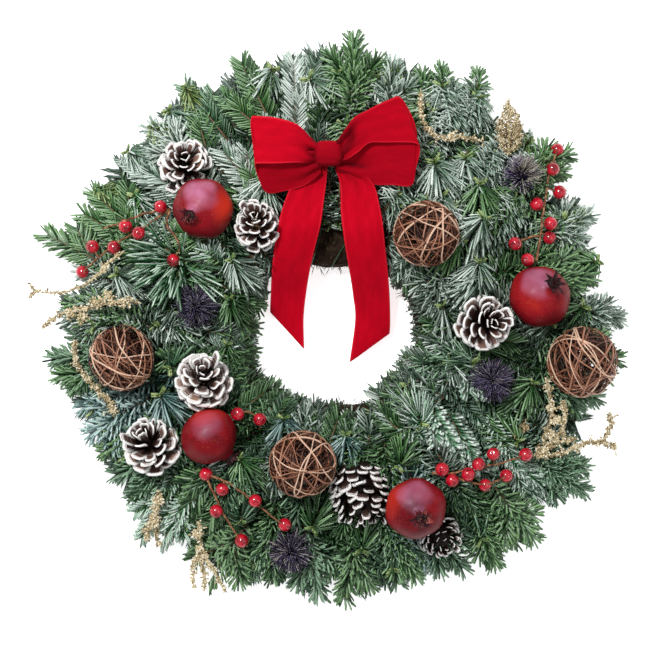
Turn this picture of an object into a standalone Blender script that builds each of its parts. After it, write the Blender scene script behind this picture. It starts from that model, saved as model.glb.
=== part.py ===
"""Fresh evergreen wreath, lying on its back with its face up.

Eighteen bunches of fir are bound with one wire round a moss-covered ring. Cones, pomegranates,
vine balls, thistles, berry sprays, gold dried twigs and a ribbon bow are set into the fir.
Lengths are in millimetres until node() turns them into metres. Angles are in degrees,
anticlockwise from +X, and +Y is the top of the hung wreath.
"""

import math

import bmesh
import bpy
from mathutils import Matrix, Vector
from mathutils.bvhtree import BVHTree

METRE = 0.001
SEAT = 0.4  # clearance between a piece and the fir that it sits in

# Moss-covered ring: its bore is lower at the top, where moss hangs between the ribbon tails.
MOSS_OUTER = 152.0
MOSS_BORE = 79.0
MOSS_HEIGHT = 38.0
MOSS_SECTIONS = 36
WIRE_RING_RADIUS = 118.0
WIRE_RING_THICK = 4.0
WIRE_RING_LIFT = 4.3  # height of its centreline
RING_GROOVE = (4.8, 6.6)  # width and depth
BINDING_THICK = 1.3
CHANNEL = (2.4, 1.9)  # width and depth of each cut for the binding wire under the ring

# Fir bunches: how far each one's two tips reach, going round from +X.
FIR_REACH = (
    (302, 276), (284, 294), (278, 288), (277, 273), (290, 272), (283, 282),
    (284, 274), (276, 283), (305, 288), (290, 273), (272, 272), (298, 294),
    (300, 274), (284, 289), (281, 277), (302, 307), (309, 296), (287, 301),
)
FIR_SPAN = 360 / len(FIR_REACH)
FIR_VALLEY = 24.0  # how much shorter a bunch is between its tips
FIR_TIP = (16.0, 24.0)  # lowest and highest point of a tip
BINDING_OUT = 0.5 * BINDING_THICK + 0.55  # from the moss to the centre of the binding wire
FIR_BED = MOSS_HEIGHT + BINDING_OUT + 0.5 * BINDING_THICK + 0.4
FIR_START = 0.14  # share of the ring's width left bare at the bore
FIR_START_AT_BOW = 0.42
BOW_BUNCH = 4

# Centres and diameters. Cones add the way their tip leans, pomegranates the way the crown leans.
CONES = (
    ("pine_cone_top_left", (-147, 156, 48), 53, 54, (0.06, 0.32, 1)),
    ("pine_cone_by_bow", (-75, 96.5, 71), 48, 52, (-0.10, 0.42, 1)),
    ("pine_cone_left", (-128, -57, 71), 54, 56, (0.03, 0.70, 1)),
    ("pine_cone_left_rim", (-182, -120, 62), 54, 56, (-0.45, 0.90, 0.9)),
    ("pine_cone_right", (151.5, 0.5, 70), 52, 54, (0.40, 0.0, 1)),
    ("pine_cone_bottom", (32, -172, 60), 53, 62, (0.26, -0.95, 0.25)),
    ("pine_cone_bottom_rim", (109, -215, 40), 45, 46, (0.45, -0.5, 1)),
)
POMEGRANATES = (
    ("pomegranate_top_left", (-127.5, 112, 76), 60, (-0.42, -0.30, 1)),
    ("pomegranate_right", (206, 25, 66), 61, (0.42, 0.46, 1)),
    ("pomegranate_left", (-122, -113, 73), 56, (0.9, -0.9, -0.2)),
    ("pomegranate_bottom", (82.5, -184, 83), 60, (0.16, -0.27, 1)),
)
VINE_BALLS = (
    ("vine_ball_top", (93, 87, 79), 66, 12),
    ("vine_ball_left", (-208.5, -36, 66), 65, 40),
    ("vine_ball_bottom", (-29, -140.5, 80), 68, 65),
    ("vine_ball_right", (249, -40, 58), 69, 25),
)
VINE_THICK = 4.6
THISTLES = (
    ("thistle_left", (-135, 16, 66), 45, (-0.1, 0.1, 1)),
    ("thistle_right", (158, -58, 66), 43, (0.15, 0.1, 1)),
    ("thistle_bottom", (-42, -228, 54), 40, (0.0, -0.2, 1)),
    ("thistle_top_right", (190, 145, 50.5), 44, (0.05, 1, 0.55)),
)

# Berry sprays: stems in plan, then the berries in plan. A twig joins each berry to its stem.
BERRY = 12.4
BERRY_STEM = 2.4
STEM_STEP = 12.0  # length of each straight run of a stem
PROBES = 4  # places along each run where the surface below is probed
BERRY_SPRAYS = (
    (
        "berry_spray_left",
        (
            ((-160, 112), (-184, 96), (-210, 81), (-233, 64), (-246, 52)),
            ((-160, 112), (-184, 108), (-207, 99), (-229, 93)),
            ((-160, 112), (-164, 97), (-155, 84), (-151, 72), (-157, 61)),
        ),
        ((-170, 114), (-205, 95), (-192, 88), (-239, 75), (-217, 74), (-249.5, 50), (-157, 61)),
    ),
    (
        "berry_spray_right",
        (
            ((203, 61), (207, 85), (210, 108), (217, 146), (226, 172)),
            ((207, 85), (196, 84), (184, 79)),
        ),
        (
            (226, 173), (220.5, 153), (228, 130), (204.5, 117.5), (217.5, 98), (217, 84),
            (181.5, 77.5), (194, 61.5),
        ),
    ),
    (
        "berry_spray_low_right",
        (
            ((99, -150), (116, -150), (138, -146), (165, -141), (192, -132)),
            ((116, -150), (134, -158), (152, -161), (173, -154)),
        ),
        (
            (109, -146), (119, -157), (135, -151), (145, -141), (160, -131), (152, -162),
            (173.5, -153), (192.5, -132),
        ),
    ),
    (
        "berry_spray_low_left",
        (
            ((-127, -149), (-97, -163), (-70, -185), (-50, -200)),
            ((-127, -149), (-116, -172), (-107, -193), (-92, -216)),
        ),
        ((-125, -151), (-109, -166), (-115, -188), (-76, -177), (-47, -201), (-90, -218)),
    ),
    (
        "berry_pair_left",
        (((-94, -91), (-83, -89), (-72, -96)),),
        ((-71.5, -96.5), (-93.5, -91)),
    ),
)

# Dried twigs: lines in plan, then the seed heads as (x, y, diameter).
TWIG_THICK = 2.6
TWIGS = (
    (
        "gold_twig_left",
        (
            ((-207, 70), (-223, 58), (-241, 41), (-257, 33), (-276, 29), (-297, 31), (-303, 38)),
            ((-297, 31), (-304, 26)),
        ),
        ((-230, 51, 8), (-264, 31, 7)),
    ),
    (
        "gold_twig_left_low",
        (((-193, 20), (-216, 19), (-243, 14), (-258, 12), (-279, 4), (-290, -6)),),
        ((-249, 6, 9), (-235, 19, 9), (-205, 19, 9)),
    ),
    (
        "gold_twig_by_ball",
        (((-257, -19), (-256, -40), (-245, -56), (-232, -70), (-221, -80), (-217, -91)),),
        ((-257, -24, 6),),
    ),
    (
        "gold_twig_top",
        (((89, 228), (88, 213), (91, 199), (98, 188), (110, 183), (129, 183), (150, 180)),),
        ((119, 184, 8),),
    ),
    (
        "gold_twig_right",
        (
            ((214, -82), (224, -92), (229, -105), (222, -124), (206, -134), (230, -131),
             (255, -121), (270, -120), (280, -104), (279, -93)),
            ((270, -120), (283, -124)),
        ),
        ((226, -98, 8), (243, -125, 7)),
    ),
    (
        "pale_spray_bottom",
        (
            ((-133, -200), (-131, -225), (-129, -250), (-128, -268)),
            ((-131, -225), (-139, -246), (-139, -266)),
            ((-131, -225), (-117, -250), (-107, -270)),
        ),
        ((-134, -212, 8),),
    ),
    (
        "cream_spray_bottom",
        (
            ((-172, -170), (-174, -186), (-176, -204), (-175, -224)),
            ((-174, -186), (-184, -204), (-186, -218)),
        ),
        ((-173, -178, 9),),
    ),
)
PLUME = ((177, 197), (24, 56, 16))

# Bow of 38 mm ribbon. A station is a centre and half of the ribbon's width there.
RIBBON_THICK = 1.2
KNOT = ((-4, 169, 86), (24, 25, 30))
LOOP_LEFT = (
    ((-16.6, 171, 90), (0, 13, 3)),
    ((-32, 177, 103), (1, 20, 2)),
    ((-56, 181, 107), (1, 23, 0)),
    ((-74, 182, 104), (-1, 23, 0)),
    ((-79, 176, 94), (-3, 23, -1)),
    ((-75, 162, 84), (-5, 22, -2)),
    ((-58, 153, 80), (-4, 21, 0)),
    ((-34, 153, 80), (-2, 18, 1)),
    ((-16.6, 160, 84), (0, 12, 0)),
)
LOOP_RIGHT = (
    ((8.6, 172, 90), (0, 13, 3)),
    ((26, 184, 103), (-5, 19, 1)),
    ((48, 196, 108), (-9, 20, 0)),
    ((68, 203, 106), (-8, 21, 0)),
    ((80, 192, 95), (-1, 22, 0)),
    ((83, 171, 86), (1, 22, 1)),
    ((66, 160, 81), (2, 21, 1)),
    ((40, 158, 81), (2, 19, 1)),
    ((8.6, 162, 84), (0, 12, 0)),
)
TAIL_LEFT = (
    ((-11, 157.2, 77), (8, 0)),
    ((-17, 140, 74), (12.5, 2)),
    ((-26, 114, 73), (18, 4)),
    ((-31, 92, 71), (20.5, 4)),
    ((-37, 70, 60), (19.5, 4)),
    ((-41, 50, 46), (19, 3)),
    ((-43.5, 30, 30), (18, 1)),
    ((-45.5, 8, 17), (17, -4)),
    ((-45, -9, 10), (17, -19)),
)
TAIL_RIGHT = (
    ((8.3, 157.8, 77), (7.4, 0)),
    ((23.5, 138, 74), (16, 1)),
    ((28, 112, 73), (19.5, 2)),
    ((31, 90, 71), (20, 3)),
    ((34, 68, 60), (19.5, 3)),
    ((37, 48, 46), (19, 2)),
    ((39.5, 26, 30), (18.5, 0)),
    ((41, 2, 17), (17.8, 0)),
    ((38, -26.5, 8), (20.5, 15)),
)
BOW_WIRE = ((3.5, 128, MOSS_HEIGHT + 0.6), (-1, 156.1, 79))
BOW_WIRE_THICK = 1.6

# Colour (sRGB), roughness and metallic of each finish.
FINISHES = {
    "galvanised wire": ("#6E6F6C", 0.45, 1.0),
    "green lacquered wire": ("#2F4A35", 0.5, 0.6),
    "moss": ("#3F3222", 0.95, 0.0),
    "fir": ("#4C6B52", 0.6, 0.0),
    "pine cone": ("#5A3A2C", 0.75, 0.0),
    "pomegranate skin": ("#8E1A26", 0.4, 0.0),
    "vine": ("#A8704A", 0.7, 0.0),
    "thistle": ("#3E3454", 0.7, 0.0),
    "berry": ("#B3122A", 0.3, 0.0),
    "dried twig": ("#D8C08E", 0.7, 0.0),
    "velvet": ("#C4001F", 0.8, 0.0),
}


def clear_scene():
    for old in list(bpy.data.objects):
        bpy.data.objects.remove(old)


def linear(channel):
    """One sRGB channel, 0 to 1, as linear light."""
    return channel / 12.92 if channel <= 0.04045 else ((channel + 0.055) / 1.055) ** 2.4


def material(name, finish):
    code, roughness, metallic = FINISHES[finish]
    made = bpy.data.materials.new(name)
    made.use_nodes = True
    shader = made.node_tree.nodes["Principled BSDF"]
    red, green, blue = (linear(int(code[at:at + 2], 16) / 255) for at in (1, 3, 5))
    shader.inputs["Base Color"].default_value = (red, green, blue, 1)
    shader.inputs["Roughness"].default_value = roughness
    shader.inputs["Metallic"].default_value = metallic
    return made


def node(name, shape, finish):
    """Makes the bmesh an object in metres, with its own material."""
    mesh = bpy.data.meshes.new(name)
    bmesh.ops.scale(shape, vec=(METRE, METRE, METRE), verts=shape.verts)
    bmesh.ops.triangulate(shape, faces=shape.faces)
    bmesh.ops.recalc_face_normals(shape, faces=shape.faces)
    shape.to_mesh(mesh)
    shape.free()
    made = bpy.data.objects.new(name, mesh)
    bpy.context.collection.objects.link(made)
    mesh.materials.append(material(name, finish))
    return made


def polar(radius, angle, height):
    turn = math.radians(angle)
    return Vector((radius * math.cos(turn), radius * math.sin(turn), height))


def loft(rings, cyclic=False):
    """A closed body through rings of points that all have the same count."""
    shape = bmesh.new()
    rows = [[shape.verts.new(point) for point in ring] for ring in rings]
    pairs = list(zip(rows, rows[1:]))
    if cyclic:
        pairs.append((rows[-1], rows[0]))
    for near, far in pairs:
        for index, corner in enumerate(near):
            after = (index + 1) % len(near)
            shape.faces.new((corner, near[after], far[after], far[index]))
    if not cyclic:
        shape.faces.new(rows[0])
        shape.faces.new(rows[-1])
    bmesh.ops.recalc_face_normals(shape, faces=shape.faces)
    return shape


def aim(centre, axis):
    """Turns +Z to the axis and moves the origin to the centre."""
    turn = Vector(axis).to_track_quat("Z", "Y").to_matrix().to_4x4()
    return Matrix.Translation(centre) @ turn


def tube(points, thick, sides=5, cyclic=False):
    """A round bar along points, whose rings stay square to the line."""
    count = len(points)
    rings = []
    side = None
    for index, point in enumerate(points):
        before = points[index - 1] if index or cyclic else point
        after = points[(index + 1) % count] if index < count - 1 or cyclic else point
        along = (after - before).normalized()
        start = side if side is not None else along.orthogonal()
        side = (start - along * start.dot(along)).normalized()
        across = along.cross(side)
        turns = [2 * math.pi * step / sides for step in range(sides)]
        rings.append([
            point + (side * math.cos(turn) + across * math.sin(turn)) * thick / 2
            for turn in turns
        ])
    return loft(rings, cyclic)


def ball(centre, diameter, columns=6, rows=4):
    shape = bmesh.new()
    bmesh.ops.create_uvsphere(
        shape, u_segments=columns, v_segments=rows, radius=diameter / 2,
        matrix=Matrix.Translation(centre),
    )
    return shape


def helper(shape):
    """A cutter or a limb for a Boolean, which is never part of the wreath."""
    made = node("helper", shape, "moss")
    made.hide_render = True
    made.display_type = "WIRE"
    return made


def combine(target, others, operation):
    """Applies a Boolean for each other object, and deletes them."""
    for other in others:
        step = target.modifiers.new("join", "BOOLEAN")
        step.operation = operation
        step.solver = "EXACT"
        step.object = other
    graph = bpy.context.evaluated_depsgraph_get()
    mesh = bpy.data.meshes.new_from_object(target.evaluated_get(graph))
    target.modifiers.clear()
    target.data = mesh
    for other in others:
        bpy.data.objects.remove(other)
    keep_largest(target)


def keep_largest(target):
    """Drops the crumbs that a cut can leave beside the body."""
    shape = bmesh.new()
    shape.from_mesh(target.data)
    bmesh.ops.triangulate(shape, faces=shape.faces)
    bmesh.ops.remove_doubles(shape, verts=shape.verts, dist=2e-6)
    bmesh.ops.dissolve_degenerate(shape, edges=shape.edges, dist=2e-6)
    waiting = set(shape.verts)
    groups = []
    while waiting:
        group = set()
        front = [waiting.pop()]
        while front:
            vert = front.pop()
            group.add(vert)
            linked = {edge.other_vert(vert) for edge in vert.link_edges} & waiting
            waiting -= linked
            front.extend(linked)
        groups.append(group)
    largest = max(groups, key=len)
    bmesh.ops.delete(shape, geom=[v for v in shape.verts if v not in largest], context="VERTS")
    bmesh.ops.triangulate(shape, faces=shape.faces)
    shape.to_mesh(target.data)
    shape.free()


def envelope(target, grow=SEAT):
    """The convex hull of an object, grown by the seat clearance, in millimetres."""
    points = [vert.co / METRE for vert in target.data.vertices]
    centre = sum(points, Vector()) / len(points)
    hull = bmesh.new()
    for point in points:
        hull.verts.new(point + (point - centre).normalized() * grow * 1.2)
    bmesh.ops.convex_hull(hull, input=hull.verts)
    bmesh.ops.delete(hull, geom=[v for v in hull.verts if not v.link_faces], context="VERTS")
    return hull


def moss_bore(angle):
    turn = math.radians(angle)
    sag = 14 * math.sin(turn)
    return MOSS_BORE - sag + 7 * math.cos(2 * turn) - 4 * math.cos(4 * turn)


def across_moss(angle, share):
    """Radius at a share of the moss ring's width, from its bore to its outside."""
    bore = moss_bore(angle)
    return bore + share * (MOSS_OUTER - bore)


def moss_base():
    """A ring with a flat underside, one groove for the wire ring, and a channel a bunch."""
    half, depth = RING_GROOVE[0] / 2, RING_GROOVE[1]
    rings = []
    for section in range(MOSS_SECTIONS):
        angle = 360 * section / MOSS_SECTIONS
        outside = (
            (across_moss(angle, 0.88), 0), (MOSS_OUTER, 12), (across_moss(angle, 0.97), 26),
            (across_moss(angle, 0.80), MOSS_HEIGHT), (across_moss(angle, 0.18), MOSS_HEIGHT),
            (across_moss(angle, 0.03), 26), (moss_bore(angle), 12),
            (across_moss(angle, 0.12), 0), (WIRE_RING_RADIUS - half, 0),
            (WIRE_RING_RADIUS - half, depth), (WIRE_RING_RADIUS + half, depth),
            (WIRE_RING_RADIUS + half, 0),
        )
        rings.append([polar(radius, angle, height) for radius, height in outside])
    base = node("moss_base", loft(rings, cyclic=True), "moss")
    channels = bmesh.new()
    for index in range(len(FIR_REACH)):
        angle = (index + 0.5) * FIR_SPAN
        middle = across_moss(angle, 0.5)
        place = Matrix.Translation(polar(middle, angle, 0))
        place @= Matrix.Rotation(math.radians(angle), 4, "Z")
        place @= Matrix.Diagonal((120, CHANNEL[0], 2 * CHANNEL[1], 1))
        bmesh.ops.create_cube(channels, size=1, matrix=place)
    combine(base, [helper(channels)], "DIFFERENCE")
    return base


def wire_ring():
    points = [
        polar(WIRE_RING_RADIUS, 360 * section / MOSS_SECTIONS, WIRE_RING_LIFT)
        for section in range(MOSS_SECTIONS)
    ]
    return node("wire_ring", tube(points, WIRE_RING_THICK, 6, cyclic=True), "galvanised wire")


def binding_wire():
    """One wire wound round ring and bunches: it crosses under each bunch and slants to the next."""
    out = BINDING_OUT
    below = CHANNEL[1] / 2
    points = []
    for index in range(len(FIR_REACH)):
        here = (index + 0.5) * FIR_SPAN
        there = here + FIR_SPAN
        slant = here + 0.7 * FIR_SPAN
        points += [
            polar(moss_bore(here) - out, here, 12),
            polar(across_moss(here, 0.11) - out, here, below),
            polar(across_moss(here, 0.89) + out, here, below),
            polar(MOSS_OUTER + out, here, 12),
            polar(across_moss(here, 0.97) + out, here, 26 + out),
            polar(across_moss(here, 0.82), here, MOSS_HEIGHT + out),
            polar(across_moss(slant, 0.15), slant, MOSS_HEIGHT + out),
            polar(across_moss(there, 0.03) - out, there, 26 + 0.9 * out),
        ]
    shape = tube(points, BINDING_THICK, 4, cyclic=True)
    return node("binding_wire", shape, "green lacquered wire")


def fir_section(angle, tip, crown, start):
    """The outline of a bunch in the upright plane at one angle, as points on that plane."""
    low, high = FIR_TIP
    bed = across_moss(angle, start)
    outline = (
        (bed, FIR_BED), (across_moss(angle, 0.84), FIR_BED), (157, 24), (160, 6),
        (tip - 60, 5), (tip, low), (tip, high), (tip - 32, 38 * crown), (224, 54 * crown),
        (188, 64 * crown), (150, 69 * crown), (bed + 20, 61 * crown), (bed + 1, 49),
    )
    return [polar(radius, angle, height) for radius, height in outline]


def fir_bunch(index):
    """A fan of sprigs as one body: two tips, lower and shorter between them and at its sides."""
    first, second = FIR_REACH[index]
    start = FIR_START_AT_BOW if index == BOW_BUNCH else FIR_START
    tips = (
        min(first, second) - FIR_VALLEY, first, (first + second) / 2 - FIR_VALLEY, second,
        min(first, second) - FIR_VALLEY,
    )
    crowns = (0.92, 1.0, 0.95, 1.0, 0.92)
    rings = []
    for step, (tip, crown) in enumerate(zip(tips, crowns)):
        angle = (index + step / 4) * FIR_SPAN
        inward = polar(SEAT / 2, angle + 90, 0) * ((step == 0) - (step == 4))
        rings.append([point + inward for point in fir_section(angle, tip, crown, start)])
    return node(f"fir_bunch_{index + 1:02d}", loft(rings), "fir")


def pine_cone(name, centre, width, length, axis):
    """Tiers of seven scales round an axis, each tier turned half a scale from the last."""
    tiers = ((0.10, 0.78), (0.34, 1.0), (0.60, 0.80), (0.84, 0.46))
    scales = 7
    rings = []
    for tier, (rise, reach) in enumerate(tiers):
        for lift, spread in ((0.0, 1.0), (0.12, 0.62)):
            height = length * (rise + lift - 0.5)
            ring = []
            for step in range(2 * scales):
                turn = math.pi * step / scales
                edge = 0.80 if lift == 0 and (step + tier) % 2 else 1.0
                radius = width / 2 * reach * spread * edge
                ring.append(Vector((radius * math.cos(turn), radius * math.sin(turn), height)))
            rings.append(ring)
    shape = loft(rings)
    bmesh.ops.transform(shape, matrix=aim(centre, axis), verts=shape.verts)
    return node(name, shape, "pine cone")


def turned(profile, sides, star=1.0):
    """A body turned round Z from (radius, height) points. Star shrinks every other point."""
    rings = []
    for radius, height in profile:
        ring = []
        for step in range(sides):
            reach = radius * (star if step % 2 and radius > 14 else 1)
            ring.append(polar(reach, 360 * step / sides, height))
        rings.append(ring)
    return loft(rings)


def pomegranate(name, centre, width, axis):
    """A round fruit with its open crown at +Z."""
    half = width / 2
    body = [(half * math.sin(math.radians(a)), -0.94 * half * math.cos(math.radians(a)))
            for a in (14, 44, 74, 104, 134, 160)]
    top = body[-1][1]
    crown = [(7.0, top + 3), (9.0, top + 9), (6.5, top + 8), (4.0, top + 3)]
    shape = turned(body + crown, 11)
    bmesh.ops.transform(shape, matrix=aim(centre, axis), verts=shape.verts)
    return node(name, shape, "pomegranate skin")


def vine_ball(name, centre, width, turn):
    """Vine woven into an open ball, as a lattice of straight runs."""
    shape = bmesh.new()
    bmesh.ops.create_icosphere(shape, subdivisions=1, radius=width / 2 - 0.4 * VINE_THICK)
    bmesh.ops.wireframe(
        shape, faces=shape.faces, thickness=VINE_THICK, use_replace=True,
        use_even_offset=True, offset=0.0,
    )
    place = Matrix.Translation(centre) @ Matrix.Rotation(math.radians(turn), 4, (1, 1, 2))
    bmesh.ops.transform(shape, matrix=place, verts=shape.verts)
    return node(name, shape, "vine")


def thistle(name, centre, width, axis):
    """A domed head in a collar of eight spiny bracts."""
    half = width / 2
    profile = ((3, -7), (8, -5), (half, 1), (10.5, 4), (9.5, 11), (4.5, 17))
    shape = turned(profile, 16, star=0.55)
    bmesh.ops.transform(shape, matrix=aim(centre, axis), verts=shape.verts)
    return node(name, shape, "thistle")


def ribbon(stations):
    """A strip of ribbon through stations of centre and half width, with its real thickness."""
    centres = [Vector(centre) for centre, _ in stations]
    rings = []
    for index, (_, half) in enumerate(stations):
        across = Vector(half).to_3d() if len(half) == 3 else Vector((*half, 0))
        before = centres[max(index - 1, 0)]
        after = centres[min(index + 1, len(centres) - 1)]
        up = (after - before).cross(across).normalized() * RIBBON_THICK / 2
        middle = centres[index]
        rings.append([
            middle - across - up, middle + across - up, middle + across + up, middle - across + up,
        ])
    return loft(rings)


def room_for_ribbon(stations):
    """The space that a lying tail takes out of the fir, from just under it to well above."""
    rings = []
    for (x, y, height), half in stations:
        across = Vector((*half, 0)) * 1.03
        low = Vector((x, y, height - RIBBON_THICK - SEAT))
        high = Vector((x, y, height + 60))
        rings.append([low - across, low + across, high + across, high - across])
    return loft(rings)


def bow():
    """Two loops, two tails, the knot and the wire that ties it on. Returns pieces and cutters."""
    (x, y, z), (wide, tall, deep) = KNOT
    shape = ball((0, 0, 0), 2, 10, 8)
    for vert in shape.verts:
        vert.co = Vector(math.copysign(abs(c) ** 0.7, c) for c in vert.co)
        vert.co = Vector((x + vert.co.x * wide / 2, y + vert.co.y * tall / 2,
                          z + vert.co.z * deep / 2))
    knot = node("bow_knot", shape, "velvet")
    left = node("bow_loop_left", ribbon(LOOP_LEFT), "velvet")
    right = node("bow_loop_right", ribbon(LOOP_RIGHT), "velvet")
    tail_left = node("bow_tail_left", ribbon(TAIL_LEFT), "velvet")
    tail_right = node("bow_tail_right", ribbon(TAIL_RIGHT), "velvet")
    ends = [Vector(end) for end in BOW_WIRE]
    wire = node("bow_wire", tube(ends, BOW_WIRE_THICK, 6), "green lacquered wire")
    rooms = [envelope(piece) for piece in (knot, left, right)]
    rooms += [room_for_ribbon(TAIL_LEFT), room_for_ribbon(TAIL_RIGHT)]
    beyond = (ends[1] - ends[0]).normalized() * 3
    rooms.append(tube((ends[0] - beyond, ends[1] + beyond), BOW_WIRE_THICK + 2.5 * SEAT, 6))
    return [knot, left, right, tail_left, tail_right, wire], rooms


def near(one, other, margin=1.0):
    """Whether two boxes, as lowest and highest corners in millimetres, come that close."""
    return all(
        one[0][axis] < other[1][axis] + margin and other[0][axis] < one[1][axis] + margin
        for axis in range(3)
    )


def box_of(points):
    low = [min(point[axis] for point in points) for axis in range(3)]
    high = [max(point[axis] for point in points) for axis in range(3)]
    return low, high


def seat_in_fir(bunches, rooms):
    """Cuts the room for each ornament out of the bunches that it touches."""
    boxes = [box_of([vert.co for vert in room.verts]) for room in rooms]
    for bunch in bunches:
        own = box_of([vert.co / METRE for vert in bunch.data.vertices])
        cutters = [helper(room.copy()) for room, box in zip(rooms, boxes) if near(own, box)]
        if cutters:
            combine(bunch, cutters, "DIFFERENCE")


def surface_under(pieces):
    """A tree of the pieces' faces, in millimetres, that can be probed from above."""
    points, faces = [], []
    for piece in pieces:
        start = len(points)
        points += [vert.co / METRE for vert in piece.data.vertices]
        faces += [[start + corner for corner in face.vertices] for face in piece.data.polygons]
    return BVHTree.FromPolygons(points, faces)


def height_at(tree, x, y, missing):
    hit = tree.ray_cast(Vector((x, y, 500)), Vector((0, 0, -1)))[0]
    return missing if hit is None else hit.z


def ball_rest(tree, x, y, radius, missing):
    """Height of a ball's centre when it lies on the surface at x, y."""
    best = height_at(tree, x, y, missing) + radius
    for share in (0.2, 0.4, 0.6, 0.8, 0.95):
        for step in range(16):
            spot = polar(radius * share, 22.5 * step, 0)
            found = height_at(tree, x + spot.x, y + spot.y, missing)
            best = max(best, found + radius * math.sqrt(1 - share * share))
    return best + SEAT


def lie_along(tree, plan, thick, missing):
    """Points of a stem laid along a plan line, resting on what is below it."""
    places = []
    for (x0, y0), (x1, y1) in zip(plan, plan[1:]):
        parts = PROBES * max(1, round(math.hypot(x1 - x0, y1 - y0) / STEM_STEP))
        for part in range(parts):
            share = part / parts
            places.append((x0 + (x1 - x0) * share, y0 + (y1 - y0) * share))
    places.append(plan[-1])
    heights = [ball_rest(tree, x, y, thick, missing) - thick / 2 for x, y in places]
    points = []
    for index in range(0, len(places), PROBES):
        around = heights[max(index - PROBES + 1, 0):index + PROBES]
        points.append(Vector((*places[index], max(around))))
    return points


def closest(stems, x, y):
    """The nearest point of any stem to a place in plan."""
    best = None
    for points in stems:
        for start, end in zip(points, points[1:]):
            run = end - start
            flat = run.x * run.x + run.y * run.y
            share = ((x - start.x) * run.x + (y - start.y) * run.y) / flat
            spot = start + run * min(max(share, 0.02), 0.98)
            gap = math.hypot(x - spot.x, y - spot.y)
            if best is None or gap < best[0]:
                best = (gap, spot)
    return best


def lay_spray(name, lines, heads, thick, finish, tree, missing=22.0):
    """A spray as one body: stems that lie on the fir, and a ball on a twig at each head."""
    stems = [lie_along(tree, plan, thick, missing) for plan in lines]
    for branch in stems[1:]:
        branch[0] = closest(stems[:1], branch[0].x, branch[0].y)[1]
    limbs = [tube(points, thick, 4) for points in stems]
    for x, y, diameter in heads:
        centre = Vector((x, y, ball_rest(tree, x, y, diameter / 2, missing)))
        gap, spot = closest(stems, x, y)
        if gap > 0.3 * diameter or centre.z - spot.z > 0.4 * diameter:
            lift = Vector((0, 0, 0.25 * diameter))
            limbs.append(tube([spot, (spot + centre) / 2 + lift, centre], 0.8 * thick, 4))
        limbs.append(ball(centre, diameter))
    spray = node(name, limbs[0], finish)
    combine(spray, [helper(limb) for limb in limbs[1:]], "UNION")
    return spray


def plume(tree):
    """A soft dried grass head that lies on the fir."""
    (x, y), size = PLUME
    shape = ball((0, 0, 0), 1, 8, 6)
    bmesh.ops.scale(shape, vec=size, verts=shape.verts)
    fine = ball((0, 0, 0), 1, 36, 24)
    spots = [Vector(a * b for a, b in zip(vert.co, size)) for vert in fine.verts]
    fine.free()
    lift = max(height_at(tree, x + spot.x, y + spot.y, 0) - spot.z for spot in spots)
    bmesh.ops.translate(shape, vec=(x, y, lift + SEAT), verts=shape.verts)
    return node("gold_plume", shape, "dried twig")


def build():
    clear_scene()
    base = [moss_base(), wire_ring(), binding_wire()]
    ornaments = [pine_cone(*values) for values in CONES]
    ornaments += [pomegranate(*values) for values in POMEGRANATES]
    ornaments += [vine_ball(*values) for values in VINE_BALLS]
    ornaments += [thistle(*values) for values in THISTLES]
    bow_pieces, rooms = bow()
    rooms += [envelope(ornament) for ornament in ornaments]
    bunches = [fir_bunch(index) for index in range(len(FIR_REACH))]
    seat_in_fir(bunches, rooms)
    laid = base + bunches + ornaments + bow_pieces
    for name, lines, places in BERRY_SPRAYS:
        heads = [(x, y, BERRY) for x, y in places]
        tree = surface_under(laid)
        laid.append(lay_spray(name, lines, heads, BERRY_STEM, "berry", tree))
    for name, lines, heads in TWIGS:
        tree = surface_under(laid)
        laid.append(lay_spray(name, lines, heads, TWIG_THICK, "dried twig", tree))
    laid.append(plume(surface_under(laid)))


build()
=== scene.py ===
import math

import bmesh
import bpy
import numpy as np
from mathutils import Matrix, Vector
from mathutils.bvhtree import BVHTree


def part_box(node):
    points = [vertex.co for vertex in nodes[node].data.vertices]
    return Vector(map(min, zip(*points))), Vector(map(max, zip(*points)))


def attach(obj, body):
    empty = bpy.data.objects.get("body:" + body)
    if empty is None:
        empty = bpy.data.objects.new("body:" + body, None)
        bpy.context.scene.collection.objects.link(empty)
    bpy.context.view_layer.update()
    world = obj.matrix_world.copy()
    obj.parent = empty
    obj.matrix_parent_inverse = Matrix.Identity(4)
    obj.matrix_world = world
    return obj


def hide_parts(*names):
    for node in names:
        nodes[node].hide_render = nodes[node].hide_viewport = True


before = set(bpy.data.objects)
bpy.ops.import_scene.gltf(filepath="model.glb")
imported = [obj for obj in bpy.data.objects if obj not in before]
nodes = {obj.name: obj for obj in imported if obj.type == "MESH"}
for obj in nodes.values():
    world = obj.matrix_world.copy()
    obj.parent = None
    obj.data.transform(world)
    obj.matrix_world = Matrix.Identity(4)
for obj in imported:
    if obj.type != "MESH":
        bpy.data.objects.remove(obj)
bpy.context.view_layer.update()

mm = 0.001
print("frame read,", len(nodes), "nodes")


# Shared tools: colours, shader nodes, stamps and their copies, round bars

def linear(code):  # sRGB hex to linear RGBA
    shares = [int(code[at:at + 2], 16) / 255 for at in (1, 3, 5)]
    return tuple(s / 12.92 if s <= 0.04045 else ((s + 0.055) / 1.055) ** 2.4 for s in shares) + (1,)


usualOutputs = {"Mix": 2, "TexCoord": 3, "Attribute": 2, "NewGeometry": 1, "VectorMath": 1}  # else the first


def feed(socket, value):  # with a number, a colour code, another node or one of its sockets
    if isinstance(value, bpy.types.Node):
        value = value.outputs[usualOutputs.get(value.bl_idname.replace("ShaderNode", ""), 0)]
    if isinstance(value, bpy.types.NodeSocket):
        socket.id_data.links.new(value, socket)
    else:
        socket.default_value = linear(value) if isinstance(value, str) else value


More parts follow.
